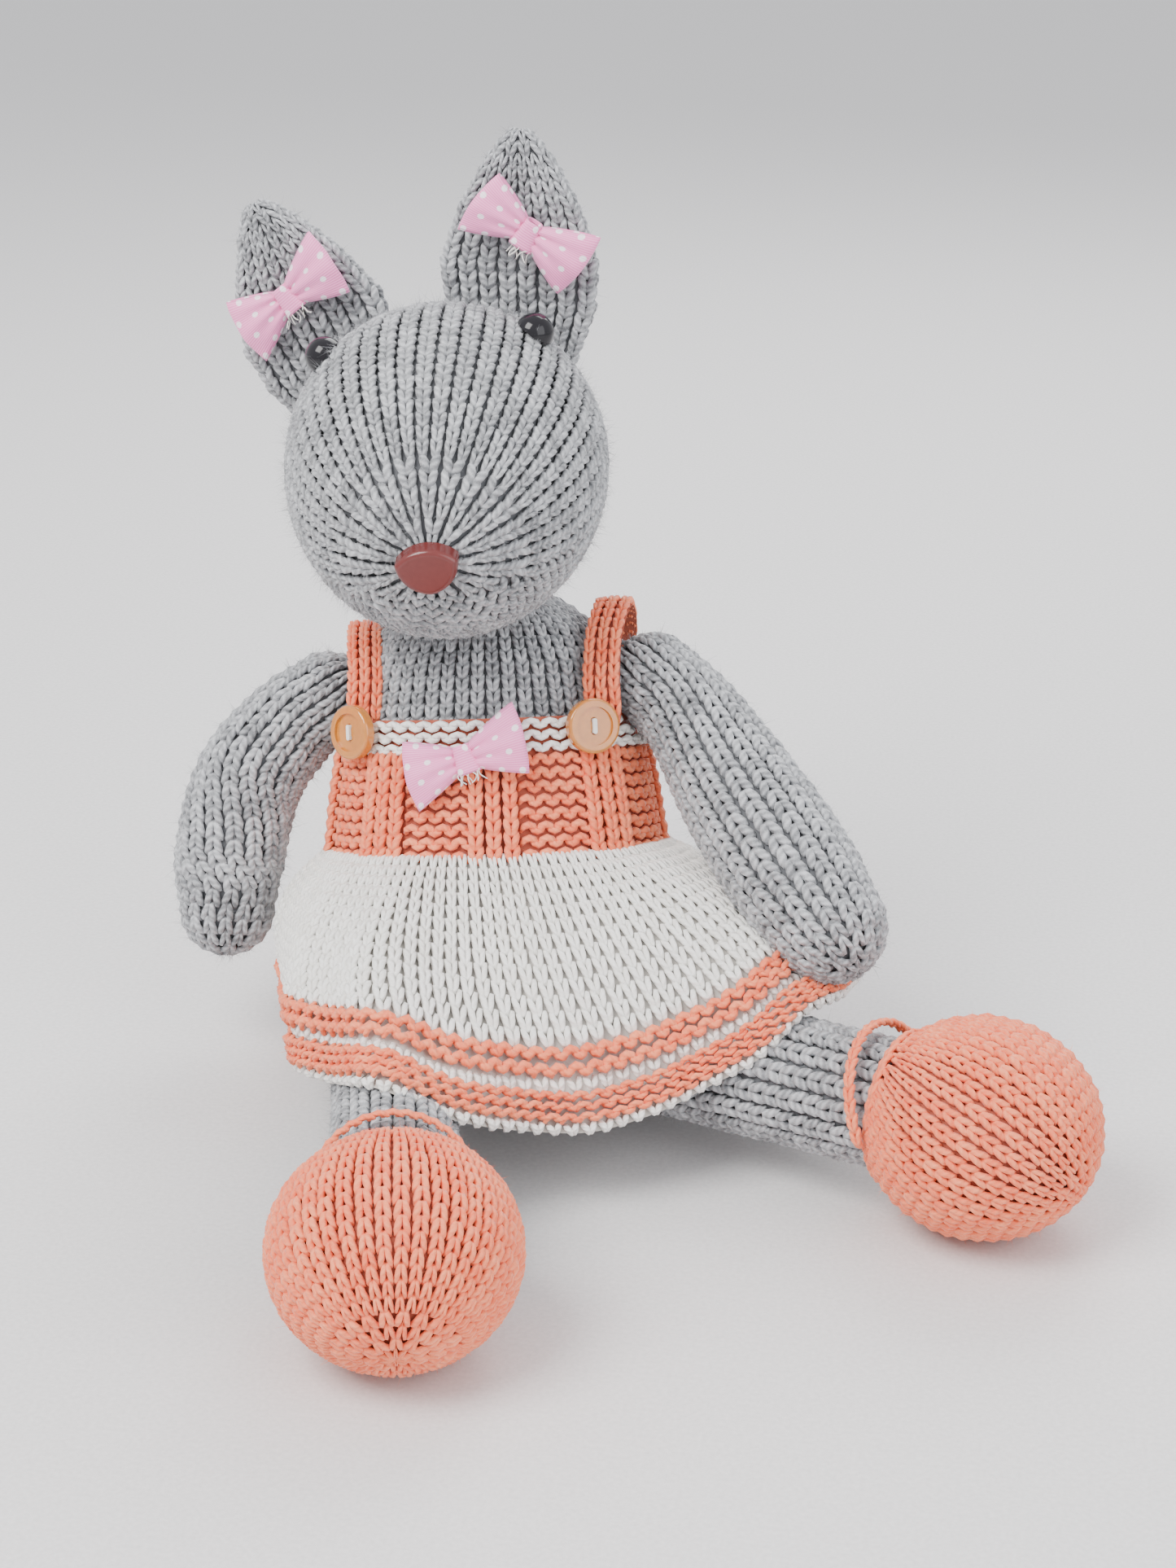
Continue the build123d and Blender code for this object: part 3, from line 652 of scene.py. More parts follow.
# %% Seams
def seam_ring(name, centre, axis, radius, angle, body, count):
    """Slanted stitches round an axis, at an angle from it on a ball."""
    axis = unit(np.array(axis, float))
    centre = np.array(centre, float)
    side = unit(np.cross(axis, [0.3, 1.0, 0.2]))
    other = np.cross(axis, side)
    turn = 2 * np.pi * np.arange(count) / count
    out = np.cos(turn)[:, None] * side + np.sin(turn)[:, None] * other
    n = unit(out * math.sin(angle) + axis * math.cos(angle))
    up = unit(axis - n * (n @ axis)[:, None])
    tilt = unit(up + np.cross(up, n) * 0.5)
    spots = {"p": centre + n * radius, "n": n, "v": tilt, "u": np.cross(tilt, n),
             "w": np.full(count, 3.2), "h": np.full(count, 3.0), "d": np.full(count, 0.7),
             "r": rng.random(count)}
    return knitted(name, [RIGHT_LEG], spots, GREY, body)


neck_ring = seam_ring("neck_seam_yarn", neck_centre, (0, 0, 1), 15.9, math.radians(58), "neck_seam", 28)
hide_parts("neck_seam")

ARMS = {
    "left": ([(34, 25, 93.5), (44.5, 18, 86.5), (58.5, 4, 72.8), (71.8, -10.5, 61.4), (81.2, -20.5, 53.6)],
             [11, 12, 14.6, 15, 13]),
    "right": ([(-46, 26, 83.5), (-55, 22, 76.5), (-64, 16, 64), (-67.3, 9, 47.4), (-67, 4, 35.5)],
              [11, 12, 13.2, 13.4, 11.5]),
}
for side, (stops, radii) in ARMS.items():
    inward = (-1, 0, 0) if side == "left" else (1, 0, 0)
    ring = seam_ring(f"shoulder_seam_{side}_yarn", stops[0], inward, 12.0, math.radians(38),
                     f"shoulder_seam_{side}", 14)
    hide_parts(f"shoulder_seam_{side}")

# %% [markdown]
# ## Arms and legs
# Each is a knitted tube with its end drawn together. They are stiff with stuffing and turn at the
# seam, so each rides whole on its own body.


# %% Limbs
def limb(name, stops, radii, body, nodes, row, column, fuzz):
    """A stuffed knitted tube."""
    form = tube_form(np.array(stops, float), np.array(radii, float) - 1.1)
    under_form = paint(skin(name + "_skin", form, 0.7), GREY_SHADE_SKIN)
    spots = spots_on(form, row, column, thin=0.5, loose=0.07)
    knitted(name + "_knit", KNIT, spots, GREY, body, fuzz, 3.4)
    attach(under_form, body)
    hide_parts(*nodes)
    print(name, "stitches:", len(spots["p"]))
    return form


for side, (stops, radii) in ARMS.items():
    limb("arm_" + side, stops, radii, "arm_" + side, [f"arm_{side}_cover", f"arm_{side}_stuffing"],
         3.5, 5.0, 2600)

LEGS = {
    "left": (np.array([24, -16, 21.0]), np.array([118.2, -52.7, 23.7]), 15.0, 14.4),
    "right": (np.array([-20, -20, 21.0]), np.array([5.3, -123.9, 23.7]), 14.2, 13.6),
}
SHOE_RADIUS, SHOE_HALF_HEIGHT = 26.0, 23.7
for side, (hip, shoe, hip_radius, ankle_radius) in LEGS.items():
    along = unit(shoe - hip)
    ankle = shoe - along * 14
    stops = [hip + (ankle - hip) * share for share in (0, 0.33, 0.66, 1)]
    radii = np.interp([0, 0.33, 0.66, 1], [0, 1], [hip_radius, ankle_radius])
    limb("leg_" + side, stops, radii, "leg_" + side, [f"leg_{side}_cover", f"leg_{side}_stuffing"],
         3.3, 4.5, 1800)

# %% [markdown]
# ## Shoes
# Round and stuffed. The columns run over the toe and are gathered in a star on its underside. The
# opening has a chain edge, and a thin yarn strap arches over the instep.


# %% Shoes
def shoe_surface(centre, pole):
    """A ball, a little flattened in height, as rings round the axis from its back to its toe."""
    pole = unit(pole)
    side = unit(np.cross(pole, [0, 0, 1.0]))
    other = np.cross(side, pole)
    squeeze = np.array([1, 1, (SHOE_HALF_HEIGHT - 1) / (SHOE_RADIUS - 1)])

    def surface(u, v):
        u, v = np.broadcast_arrays(np.asarray(u, float), np.asarray(v, float))
        turn, angle = 2 * np.pi * u, np.pi * v
        around = np.cos(turn)[..., None] * side + np.sin(turn)[..., None] * other
        ball = np.sin(angle)[..., None] * around - np.cos(angle)[..., None] * pole
        return centre + (SHOE_RADIUS - 1) * ball * squeeze
    return surface


for side, (hip, shoe, hip_radius, ankle_radius) in LEGS.items():
    along = unit(shoe - hip)
    form = shoe_surface(shoe, along + np.array([0, 0, -0.5]))
    spots = spots_on(form, 3.2, 3.8, thin=0.5, loose=0.07)
    offset = spots["p"] - shoe
    depth = offset @ along
    off_axis = np.linalg.norm(offset - depth[:, None] * along, axis=1)
    opening = (depth < 0) & (off_axis < ankle_radius + 0.8)
    knitted(f"shoe_{side}_knit", KNIT, pick(spots, ~opening), CORAL, "leg_" + side, 900, 2.2)
    under_form = paint(skin(f"shoe_{side}_skin", form, 0.8), CORAL_SHADE_SKIN)
    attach(under_form, "leg_" + side)
    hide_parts("shoe_" + side, f"foot_{side}_stuffing")
    across = unit(np.cross(along, [0, 0, 1.0]))
    rise = np.cross(across, along)
    turn = 2 * np.pi * np.arange(30) / 30
    radial = np.cos(turn)[:, None] * across + np.sin(turn)[:, None] * rise
    rim = ankle_radius + 1.7
    back = math.sqrt((SHOE_RADIUS - 0.6) ** 2 - rim**2)
    n = unit(radial - along)
    tangent = unit(np.cross(radial, along))
    edge = {"p": shoe - along * back + radial * rim, "n": n, "v": tangent, "u": np.cross(tangent, n),
            "w": np.full(30, 3.4), "h": np.full(30, 3.6), "d": np.full(30, 0.8), "r": rng.random(30)}
    knitted(f"shoe_{side}_edge", KNIT, edge, CORAL, "leg_" + side)
    lean = math.radians(21)
    strap_radius = (ankle_radius + 1.5 + 1.2) / math.cos(lean)
    strap_at = shoe - along * (math.sqrt((SHOE_RADIUS + 1.7) ** 2 - strap_radius**2))
    strap_up = unit(rise * math.cos(lean) - along * math.sin(lean))
    turn = np.linspace(0.02, np.pi - 0.02, 19)
    radial = np.cos(turn)[:, None] * across + np.sin(turn)[:, None] * strap_up
    tangent = -np.sin(turn)[:, None] * across + np.cos(turn)[:, None] * strap_up
    cord = {"p": strap_at + radial * strap_radius, "n": radial, "v": tangent,
            "u": np.cross(tangent, radial), "w": np.full(19, 2.9), "h": np.full(19, 3.2),
            "d": np.full(19, 0.8), "r": rng.random(19)}
    strap = knitted(f"shoe_{side}_strap", KNIT, cord, CORAL, "leg_" + side, 60, 1.5)
    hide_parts("shoe_strap_" + side)

# %% [markdown]
# ## Ears
# Each ear is one flat leaf of knitting, narrow at its foot, broad in the middle and drawn to a
# point. Its edges curl forward a little.

# %% Ears
EARS = {
    "left": (np.array([-1, 46, 158.0]), np.array([-1.1, 44.5, 218.0])),
    "right": (np.array([-38.4, 46.5, 145.2]), np.array([-65.4, 45.5, 198.8])),
}
EAR_SECTIONS = np.array([
    (0, 0.2, 0.2), (0.02, 9, 2.4), (0.1, 12.5, 3.0), (0.3, 17, 3.4), (0.48, 18, 3.6), (0.7, 13.5, 3.2),
    (0.86, 8, 2.6), (0.95, 4.2, 2.0), (1.0, 0.3, 0.4),
])


def ear_surface(foot, tip):
    """A leaf: flat ovals along the ear, whose sides curl forward with the square of their distance."""
    along = unit(tip - foot)
    width = unit(np.array([1, 0, 0]) - along * along[0])
    back = np.cross(along, width)
    def surface(u, v):
        u, v = np.broadcast_arrays(np.asarray(u, float), np.asarray(v, float))
        half_x, half_y = (np.interp(v, EAR_SECTIONS[:, 0], EAR_SECTIONS[:, k]) for k in (1, 2))
        turn = 2 * np.pi * u
        x = half_x * np.cos(turn)
        y = half_y * np.sin(turn) - 2.2 * (x / 18) ** 2 + 1.0 * np.sin(np.pi * v)
        spot = foot + (tip - foot) * v[..., None]
        return spot + width * x[..., None] + back * y[..., None]
    return surface


for side, (foot, tip) in EARS.items():
    form = ear_surface(foot, tip)
    spots = spots_on(form, 3.2, 4.1, low=0.03, high=0.985, thin=0.5, loose=0.09, depth=0.8)
    ear_knit = knitted(f"ear_{side}_knit", KNIT, spots, GREY, None, 1800, 3.6)
    ear_skin = paint(skin(f"ear_{side}_skin", form, 0.5, along=60), GREY_SHADE_SKIN)
    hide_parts("ear_" + side)
    for piece in (ear_knit, ear_skin):
        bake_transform(piece)
    print("ear", side, "stitches:", len(spots["p"]))

# %% [markdown]
# ## Dress
# The bodice has ribs of knit stitches between panels of purl. The skirt is plain knitting that
# widens to the hem, where coral ridges stand out on each side of a white band. It lies over both
# thighs.

# %% Bodice and neckband
WAIST, BAND_FOOT, BAND_TOP = 54.0, 78.0, 86.0


def bodice_form(low, high, grow):
    """The dress round the body between two heights, standing off it by grow."""
    def surface(u, v):
        u, v = np.broadcast_arrays(np.asarray(u, float), np.asarray(v, float))
        height = low + (high - low) * v
        half_x, half_y = (np.interp(height, BODY_SECTIONS[1:, 0], BODY_SECTIONS[1:, k]) for k in (1, 2))
        return oval(height, half_x + grow, half_y + grow, u)
    return surface


SHOULDERS = [np.array(stops[0], float) for stops, radii in ARMS.values()]


def off_arms(spots, room=12.8):
    """True for the spots that are clear of both armholes."""
    return np.min([np.linalg.norm(spots["p"] - s, axis=1) for s in SHOULDERS], axis=0) > room


bodice = bodice_form(WAIST - 1, BAND_FOOT, 2.0)
spots = spots_on(bodice, 3.0, 3.7, loose=0.05)
rib = np.mod(spots["col"], 7) < 2.6
spots["p"] = spots["p"] + spots["n"] * np.where(rib, 0.7, -0.3)[:, None]
clear = off_arms(spots)
bodice_ribs = knitted("bodice_ribs", KNIT, pick(spots, clear & rib), CORAL, "torso", 300, 2.0)
bodice_purl = knitted("bodice_purl", PURL, pick(spots, clear & ~rib), CORAL, "torso", 500, 2.0)
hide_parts("dress_bodice")
print("bodice stitches:", len(spots["p"]))

band = bodice_form(BAND_FOOT, BAND_TOP, 2.1)
spots = spots_on(band, 2.7, 3.8, loose=0.05)
neckband = knitted("neckband_knit", PURL, pick(spots, off_arms(spots)), WHITE, "torso", 300, 2.0)
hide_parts("dress_neckband")

# %% [markdown]
# The skirt's edge is a closed line that dips between the legs and rises over the thighs. The
# skirt is the surface between the waist and that line, with soft folds that grow towards the hem.

# %% Skirt form
HEM = [
    (85, -5, 34), (85.5, -22, 38), (78, -37, 39.5), (63.5, -47, 29), (47, -56, 22), (30, -64, 20),
    (9, -76, 27.5), (-7, -82, 37), (-23, -69, 30.5), (-33, -52, 24), (-38, -28, 16.5),
    (-41, -2, 15), (-37, 28, 12), (-17, 44, 9), (14, 49, 9), (45, 41, 13), (72, 22, 23),
]


def hem_line():
    """The hem by its angle round the middle of the skirt: x, y and z at even steps of the angle."""
    stops = np.array(HEM, float)
    loop = smooth_line(np.concatenate([stops[-2:], stops, stops[:2]]), 600)
    angle = np.arctan2(loop[:, 1] + 5, loop[:, 0] - 18)
    order = np.argsort(angle)
    even = np.linspace(-np.pi, np.pi, 361)
    return even, np.stack([np.interp(even, angle[order], loop[order, k], period=2 * np.pi)
                           for k in range(3)], -1)


hem_angle, hem_points = hem_line()


def skirt_form(u, v):
    """From the hem (v 0) to the waist (v 1): a straight line between them, a bulge, and folds."""
    u, v = np.broadcast_arrays(np.asarray(u, float), np.asarray(v, float))
    turn = np.mod(2 * np.pi * u + np.pi, 2 * np.pi) - np.pi
    edge = np.stack([np.interp(turn, hem_angle, hem_points[:, k]) for k in range(3)], -1)
    waist_height = np.full(u.shape, WAIST + 0.5)
    half_x = np.interp(WAIST, BODY_SECTIONS[1:, 0], BODY_SECTIONS[1:, 1]) + 2.2
    half_y = np.interp(WAIST, BODY_SECTIONS[1:, 0], BODY_SECTIONS[1:, 2]) + 2.2
    top = oval(waist_height, half_x + 0 * u, half_y + 0 * u, turn / (2 * np.pi))
    out = np.stack([np.cos(turn), np.sin(turn), 0.45 + 0 * turn], -1)
    bulge = 5.5 + 4.0 * np.clip(-np.cos(turn), 0, 1)
    lift = np.sin(np.pi * v) * bulge
    low = 1 - v
    folds = 1.1 * low * np.cos(11 * turn + 0.8) + 0.7 * low * np.cos(19 * turn)
    crease = -4.0 * np.exp(-((turn + 1.95 - 0.5 * v) / 0.15) ** 2) * np.sin(np.pi * v)
    return edge * low[..., None] + top * v[..., None] + out * (lift + folds + crease)[..., None]


# %% [markdown]
# The skirt is made in two halves that meet at the middle of the front and back.

# %% Skirt stitches
FRONT_MIDDLE, BACK_MIDDLE = -1.23, 1.75


def follow_leg(obj):
    """Bakes the piece's transform into its mesh."""
    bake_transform(obj)


HEM_EDGE, RIDGE, STRIPE = 0.03, 0.115, 0.045
edges = np.cumsum([0, HEM_EDGE, RIDGE, STRIPE, RIDGE])
BANDS = [
    ("hem_edge", 0, edges[1], 2.0, KNIT, WHITE, -0.2, None),
    ("hem_lower", edges[1], edges[2], 2.4, PURL, CORAL, 1.1, "hem_ridge_lower"),
    ("hem_stripe", edges[2], edges[3], 3.0, KNIT, WHITE, -0.9, "hem_stripe"),
    ("hem_upper", edges[3], edges[4], 2.4, PURL, CORAL, 1.1, "hem_ridge_upper"),
    ("skirt", edges[4], 1.0, 2.9, KNIT, WHITE, 0.0, "dress_skirt"),
]
skirt_pieces = {"left": [], "right": []}
for name, low, high, row, shapes, material, stand, node in BANDS:
    whole = spots_on(skirt_form, row, 3.7, low=low, high=high, thin=0.3)
    turn = np.mod(2 * np.pi * whole["uu"] + np.pi, 2 * np.pi) - np.pi
    on_left = (turn > FRONT_MIDDLE) & (turn < BACK_MIDDLE)
    for side, half in (("left", on_left), ("right", ~on_left)):
        spots = pick(whole, half)
        spots["p"] = spots["p"] + spots["n"] * stand
        piece = knitted(f"{name}_{side}_knit", shapes, spots, material, None, len(spots["p"]), 1.8)
        if node:
            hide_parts(node)
        follow_leg(piece)
        skirt_pieces[side].append(piece)
    print(name, "stitches:", len(whole["p"]))


def dress_lining(name, low, high):
    """The skirt's cloth between two angles, as one thin open sheet under the stitches."""
    def surface(u, v):
        u, v = np.broadcast_arrays(np.asarray(u, float), np.asarray(v, float))
        return skirt_form((low + (high - low) * u) / (2 * np.pi), v)
    return skin(name, surface, 0.7, around=120, along=40, closed=False, capped=False)


def sheet_area(obj):
    """The area of a mesh's faces, in square metres."""
    areas = np.zeros(len(obj.data.polygons))
    obj.data.polygons.foreach_get("area", areas)
    return float(areas.sum())


SKIRT_HALVES = (("left", FRONT_MIDDLE, BACK_MIDDLE), ("right", BACK_MIDDLE, FRONT_MIDDLE + 2 * math.pi))
for side, low, high in SKIRT_HALVES:
    lining = paint(dress_lining(f"skirt_{side}_cloth", low, high), WHITE_SHADE_SKIN)
    follow_leg(lining)
    area = sheet_area(lining)

bodice_cloth = skin("bodice_cloth", bodice_form(WAIST - 1, BAND_TOP, 1.1), 0.2, around=120, along=14,
                    closed=True, capped=False)
paint(bodice_cloth, CORAL_SHADE_SKIN)
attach(bodice_cloth, "torso")

# %% [markdown]
# ## Shoulder straps
# Two narrow knitted bands, three stitches wide, that go over the shoulders. A button sits at the
# front end of each.

# %% Straps
STRAPS = {
    "left": [(23.8, 9.2, 86), (24.4, 9, 91), (23.6, 11.5, 98), (22.9, 18.5, 106), (23.2, 29, 110.3),
             (23, 38, 107), (22.5, 44.5, 100), (22, 46.5, 91), (21.8, 46.3, 82), (21.8, 45, 76.5)],
    "right": [(-32.3, 8.4, 81.5), (-32.6, 8.8, 87), (-33, 12.5, 94), (-35, 20.5, 99.3), (-37.3, 31, 100.6),
              (-37, 38, 97), (-36, 43.5, 90), (-34.5, 45.5, 82), (-33.5, 44.8, 73.5)],
}
STRAP_HALF_WIDTH = 4.4


def strap_form(stops):
    """A band along a line. Its width lies across the body, and its outside faces away from it."""
    line = smooth_line(stops)
    tangent = unit(np.gradient(line, axis=0))
    width = unit(BODY_SIDE - tangent * (tangent @ BODY_SIDE)[:, None])
    share = np.linspace(0, 1, len(line))

    def surface(u, v):
        u, v = np.broadcast_arrays(np.asarray(u, float), np.asarray(v, float))
        spot, side, way = (np.stack([np.interp(v, share, a[:, k]) for k in range(3)], -1)
                           for a in (line, width, tangent))
        x = (u - 0.5) * 2
        normal = np.cross(side, way)
        return spot + side * (x * STRAP_HALF_WIDTH)[..., None] - normal * (0.5 * x**2)[..., None]
    return surface


strap_pieces = []
for side, stops in STRAPS.items():
    form = strap_form(stops)
    spots = spots_on(form, 3.1, 3.0, closed=False, loose=0.05)
    facing = np.sign((spots["n"] @ -BODY_BACK)[spots["vv"] < 0.3].mean())
    if facing < 0:
        spots["n"] = -spots["n"]
        spots["u"] = -spots["u"]
    strap_knit = knitted(f"strap_{side}_knit", KNIT, spots, CORAL, "torso", 200, 1.8)
    inner = paint(skin(f"strap_{side}_cloth", form, 0.6 * facing, around=8, along=60, closed=False,
                       capped=False), CORAL_SHADE_SKIN)
    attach(inner, "torso")
    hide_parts("strap_" + side)
    strap_pieces += [strap_knit, inner]

area = sheet_area(bodice_cloth)
print("bodice area", round(area * 1e4, 1), "cm2")

# %% [markdown]
# ## Buttons
# Amber buttons with a raised rim, each held by one stitch of white thread.

# %% Buttons
for side in ("left", "right"):
    paint(frame["nodes"]["button_" + side], AMBER)
    paint(frame["nodes"]["button_thread_" + side], THREAD)

# %% [markdown]
# ## Bows
# Ribbed pink ribbon with white dots, folded into two loops that fan out from a narrow wrap. The
# dots and ribs are worked out from each ribbon's own length and width.


# %% Ribbon
def ribbon_material():
    """Pink ribbon: ribs across it, with painted shade that darkens the pink in their grooves, and dots on a
    staggered grid, all from its UV in millimetres.
    """
    made = bpy.data.materials.new("Dotted pink ribbon")
    made.use_nodes = True
    tree = made.node_tree
    shader = tree.nodes["Principled BSDF"]
    uv = tree.nodes.new("ShaderNodeUVMap")
    uv.uv_map = "UVMap"
    parts = tree.nodes.new("ShaderNodeSeparateXYZ")
    tree.links.new(uv.outputs[0], parts.inputs[0])
    along, across = parts.outputs[0], parts.outputs[1]
    pitch = 5.0
    cell = calc(tree, "DIVIDE", across, pitch)
    stagger = calc(tree, "MULTIPLY", calc(tree, "MODULO", calc(tree, "FLOOR", cell), 2.0), 0.5)
    x = calc(tree, "SUBTRACT", calc(tree, "FRACT", calc(tree, "ADD", calc(tree, "DIVIDE", along, pitch),
                                                        stagger)), 0.5)
    y = calc(tree, "SUBTRACT", calc(tree, "FRACT", cell), 0.5)
    far = calc(tree, "SQRT", calc(tree, "ADD", calc(tree, "MULTIPLY", x, x), calc(tree, "MULTIPLY", y, y)))
    dot = calc(tree, "MULTIPLY", calc(tree, "SUBTRACT", 0.17, far), 40.0, clamp=True)
    rib = calc(tree, "MULTIPLY_ADD", calc(tree, "SINE", calc(tree, "MULTIPLY", across, 11.0)), 0.5, 0.5)
    # Painted shade: the pink is lighter on the rib crests and darker in the grooves, from the same sine as
    # the rib bump.
    pink = mix(tree, rib, (0.86, 0.2, 0.47, 1), (0.98, 0.34, 0.62, 1))
    tree.links.new(mix(tree, dot, pink, (0.97, 0.82, 0.9, 1)), shader.inputs["Base Color"])
    bump = tree.nodes.new("ShaderNodeBump")
    bump.inputs["Strength"].default_value = 0.5
    bump.inputs["Distance"].default_value = 0.0001
    tree.links.new(rib, bump.inputs["Height"])
    tree.links.new(bump.outputs["Normal"], shader.inputs["Normal"])
    shader.inputs["Roughness"].default_value = 0.5
    shader.inputs["Sheen Weight"].default_value = 0.3
    return made


RIBBON = ribbon_material()
BOW_LOOP, BOW_HALF_HEIGHT = 14.6, 8.2


def ribbon_loop(name, centre, side, up, out, sign):
    """A loop of ribbon: out along its front, round the end, and back, fanning from its pleats."""
    a = np.linspace(0, 1, 41)[:, None]
    b = np.linspace(-1, 1, 17)[None]
    far = np.sin(np.pi * a) ** 0.75
    x = 1.2 + (BOW_LOOP - 1.2) * far
    puff = 0.2 + 0.8 * np.sin(np.pi * a) ** 0.5
    z = 2.2 + 2.5 * np.cos(np.pi * a) * puff * (1 - 0.35 * b**2) + 1.3 * far * (1 - b**2)
    tall = 2.3 + (BOW_HALF_HEIGHT - 2.3) * far**0.85
    pleat = 0.55 * (1 - far) * np.cos(3 * np.pi * b) + 0.25 * np.cos(2 * np.pi * b + 1) * far
    x = x + (0.9 * b * sign - 1.1 * b**2) * far
    z = z + pleat
    y = tall * b
    grid = (centre + side * (sign * x)[..., None] + up * y[..., None] + out * z[..., None])
    path = np.concatenate([[0], np.cumsum(np.linalg.norm(np.diff(grid[:, 8], axis=0), axis=1))])
    uv = np.stack([path[:, None] + 0 * b, b * BOW_HALF_HEIGHT + 0 * a + 30], -1)
    quads = grid_faces(41, 17, False)
    obj = make_mesh(name, grid.reshape(-1, 3), quads, [], uv=uv.reshape(-1, 2))
    return paint(obj, RIBBON), path[-1]


def ribbon_wrap(name, centre, side, up, out):
    """The short band round the middle of a bow, a little wider at its lower end."""
    turn = np.linspace(0, 2 * np.pi, 28, endpoint=False)[:, None]
    b = np.linspace(-1, 1, 9)[None]
    wide = 2.5 - 0.5 * b
    x = wide * np.sign(np.cos(turn)) * np.abs(np.cos(turn)) ** 0.7
    z = 2.2 + 2.1 * np.sign(np.sin(turn)) * np.abs(np.sin(turn)) ** 0.7 + 0 * b
    y = 3.4 * b - 0.4 + 0 * turn
    grid = centre + side * x[..., None] + up * y[..., None] + out * z[..., None]
    uv = np.stack([turn * 2.3 + 0 * b, 30 + 3.4 * b + 0 * turn], -1)
    quads = grid_faces(28, 9, False)
    last = np.stack([27 * 9 + np.arange(8), np.arange(8), np.arange(1, 9), 27 * 9 + np.arange(1, 9)], -1)
    return paint(make_mesh(name, grid.reshape(-1, 3), np.concatenate([quads, last]), [],
                           uv=uv.reshape(-1, 2)), RIBBON)


def frayed_ends(name, centre, side, up, out, count=9):
    """Short white threads at the lower edge of a wrap."""
    x = np.linspace(-2.6, 2.6, count)
    start = centre + side * x[:, None] - up * 3.4 + out * rng.uniform(3.2, 4.2, (count, 1))
    way = unit(-up + side * rng.normal(0, 0.5, (count, 1)) + out * rng.normal(0.2, 0.3, (count, 1)))
    t = np.linspace(0, 1, 5)[None, :, None]
    curl = unit(rng.normal(0, 1, (count, 3)))
    line = start[:, None] + way[:, None] * (3.0 * t) + curl[:, None] * np.sin(np.pi * t) * 0.8
    parts = []
    for one in line:
        shape = strand(one, np.full(5, 0.16), 4)
        yarn = np.column_stack([shape["marks"], np.full(len(shape["co"]), 0.5)])
        parts.append((shape["co"], shape["quads"], shape["triangles"], yarn))
    return paint(join_parts(name, parts), THREAD)


def bow(name, centre, facing, turn, body):
    """The two loops, the wrap and the threads of a bow. Turn tips its sides in its own plane."""
    out = unit(np.array(facing, float))
    level_way = unit(np.cross([0, 0, 1.0], out))
    upright = np.cross(out, level_way)
    angle = math.radians(-turn)
    side = level_way * math.cos(angle) + upright * math.sin(angle)
    up = np.cross(out, side)
    for label, sign in (("loop_a", -1), ("loop_b", 1)):
        loop, length = ribbon_loop(f"{name}_{label}_ribbon", centre, side, up, out, sign)
        area = sheet_area(loop)
        loop.modifiers.new("Thickness", "SOLIDIFY").thickness = 0.35 * MM
        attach(loop, body)
        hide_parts(f"{name}_{label}")
    wrap = ribbon_wrap(f"{name}_wrap_ribbon", centre, side, up, out)
    wrap.modifiers.new("Thickness", "SOLIDIFY").thickness = 0.35 * MM
    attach(wrap, body)
    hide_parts(f"{name}_wrap")
    fray = frayed_ends(f"{name}_fray", centre, side, up, out)
    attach(fray, body)
    print(name, "at", np.round(centre, 1))


chest_front = np.interp(78, BODY_SECTIONS[1:, 0], BODY_SECTIONS[1:, 2]) + 4.0
chest_at = SEAT + BODY_UP * 77.5 + BODY_SIDE * 0.3 - BODY_BACK * chest_front
bow("bow_chest", chest_at, -BODY_BACK, -23, "torso")
for side, turn, shift in (("left", 31, 3.0), ("right", -40, -1.0)):
    foot, tip = EARS[side]
    along = unit(tip - foot)
    width = unit(np.array([1, 0, 0]) - along * along[0])
    facing = -np.cross(along, width)
    at = foot + (tip - foot) * 0.62 + facing * 4.4 + width * shift
    bow("bow_ear_" + side, at, facing, turn, "ear_" + side)
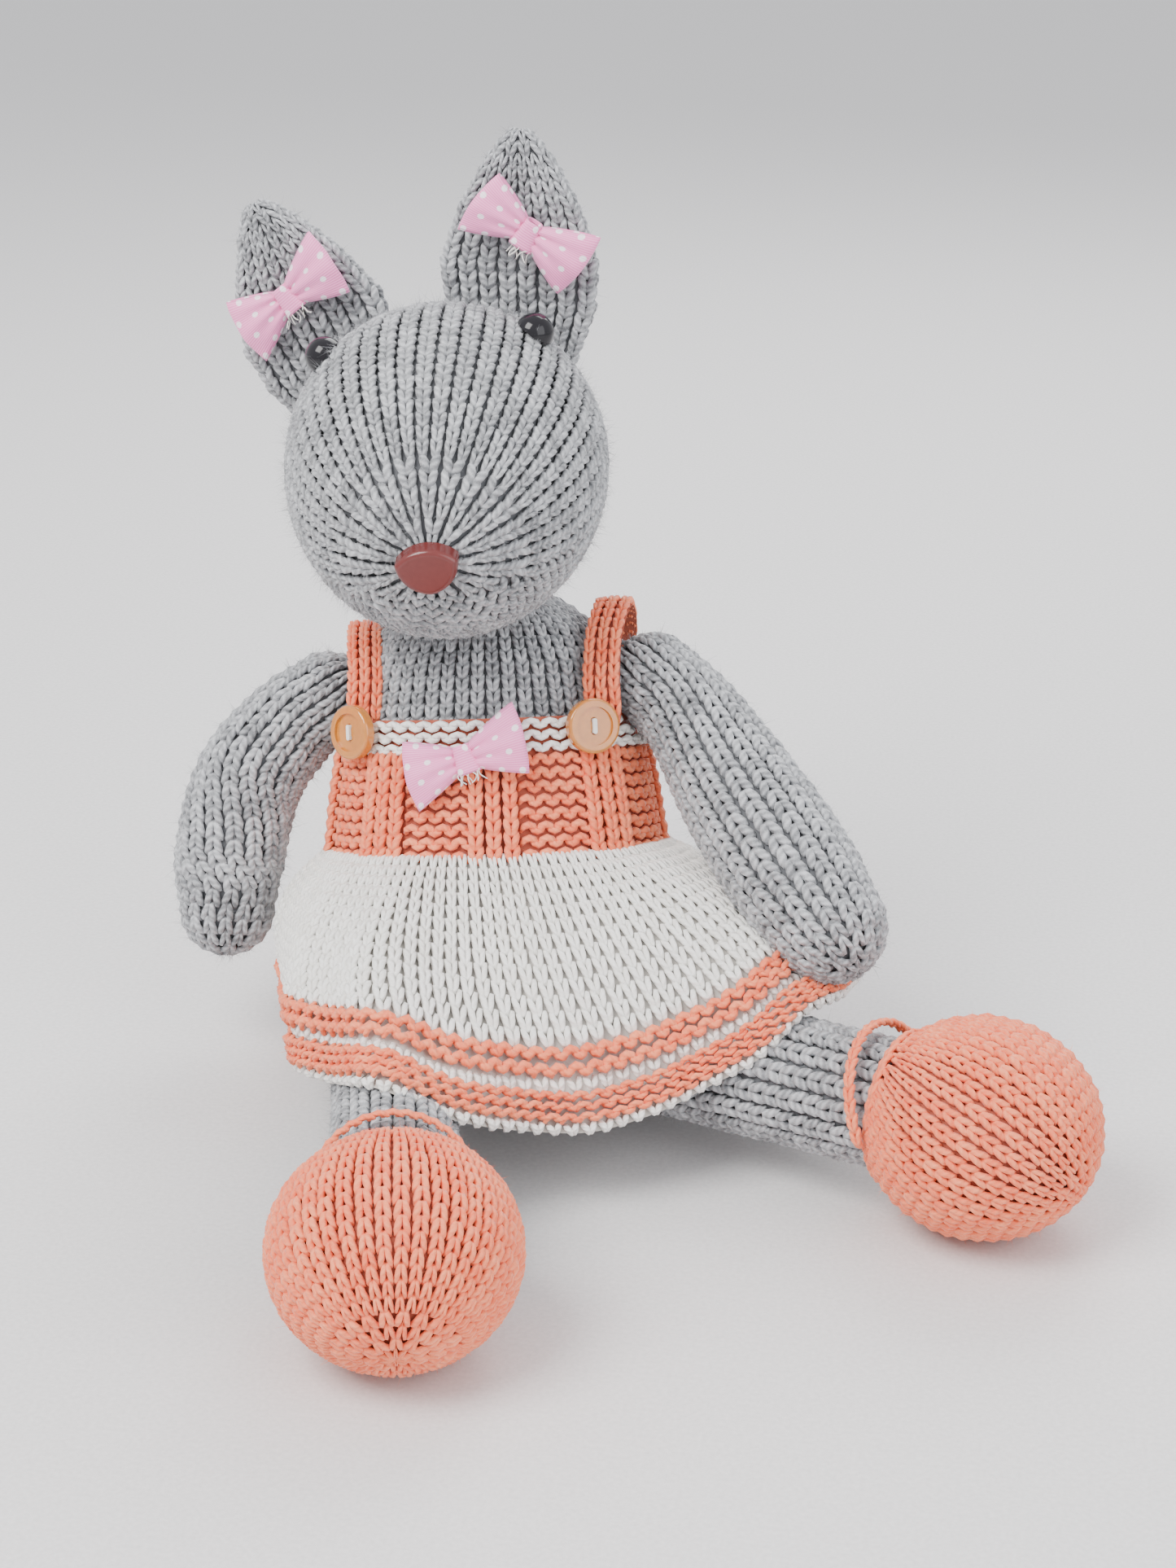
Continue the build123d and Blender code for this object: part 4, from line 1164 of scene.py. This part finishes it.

# %% [markdown]
# ## Floor, light and camera
# The floor is pale and plain. Two large soft lights and a pale world give open shadows.

# %% Material names
for obj in bpy.data.objects:
    if obj.type == "MESH" and obj.data.materials and obj.data.materials[0]:
        name = obj.data.materials[0].name

# %% Floor and light
floor_mesh = bpy.data.meshes.new("floor")
reach = 3.0
floor_mesh.from_pydata([(-reach, -reach, 0), (reach, -reach, 0), (reach, reach, 0), (-reach, reach, 0)], [],
                       [(0, 1, 2, 3)])
floor = bpy.data.objects.new("floor", floor_mesh)
bpy.context.scene.collection.objects.link(floor)
paint(floor, plain_material("Pale floor", (0.8, 0.79, 0.79), 0.75))


def soft_light(name, place, target, size, power, color):
    """A large area light at a place, aimed at a target."""
    light = bpy.data.lights.new(name, "AREA")
    light.size = size
    light.energy = power
    light.color = color
    obj = bpy.data.objects.new(name, light)
    obj.location = place
    obj.rotation_euler = (Vector(target) - Vector(place)).to_track_quat("-Z", "Y").to_euler()
    bpy.context.scene.collection.objects.link(obj)
    return obj


soft_light("key", (-0.45, -0.55, 0.95), (0.0, 0.0, 0.09), 0.6, 17.0, (1.0, 0.98, 0.96))
soft_light("fill", (0.8, -0.6, 0.55), (0.0, 0.0, 0.09), 0.9, 7.0, (0.97, 0.98, 1.0))
soft_light("rim", (0.15, 0.75, 0.8), (0.0, 0.0, 0.12), 0.6, 7.0, (1.0, 1.0, 1.0))
world = bpy.data.worlds.new("soft sky")
world.use_nodes = True
world.node_tree.nodes["Background"].inputs["Color"].default_value = (0.93, 0.94, 0.97, 1)
world.node_tree.nodes["Background"].inputs["Strength"].default_value = 1.15
bpy.context.scene.world = world

# %% Camera
camera_data = bpy.data.cameras.new("camera")
camera_data.lens = 65.4
camera_data.sensor_width = 36
camera = bpy.data.objects.new("camera", camera_data)
camera.location = (0.1285, -0.6008, 0.3223)
camera.rotation_euler = (math.radians(68), 0, math.radians(10))
bpy.context.scene.collection.objects.link(camera)
bpy.context.scene.camera = camera

# %% Sizes
total = sum(len(o.data.polygons) for o in bpy.data.objects if o.type == "MESH")
print("faces in the scene:", total)
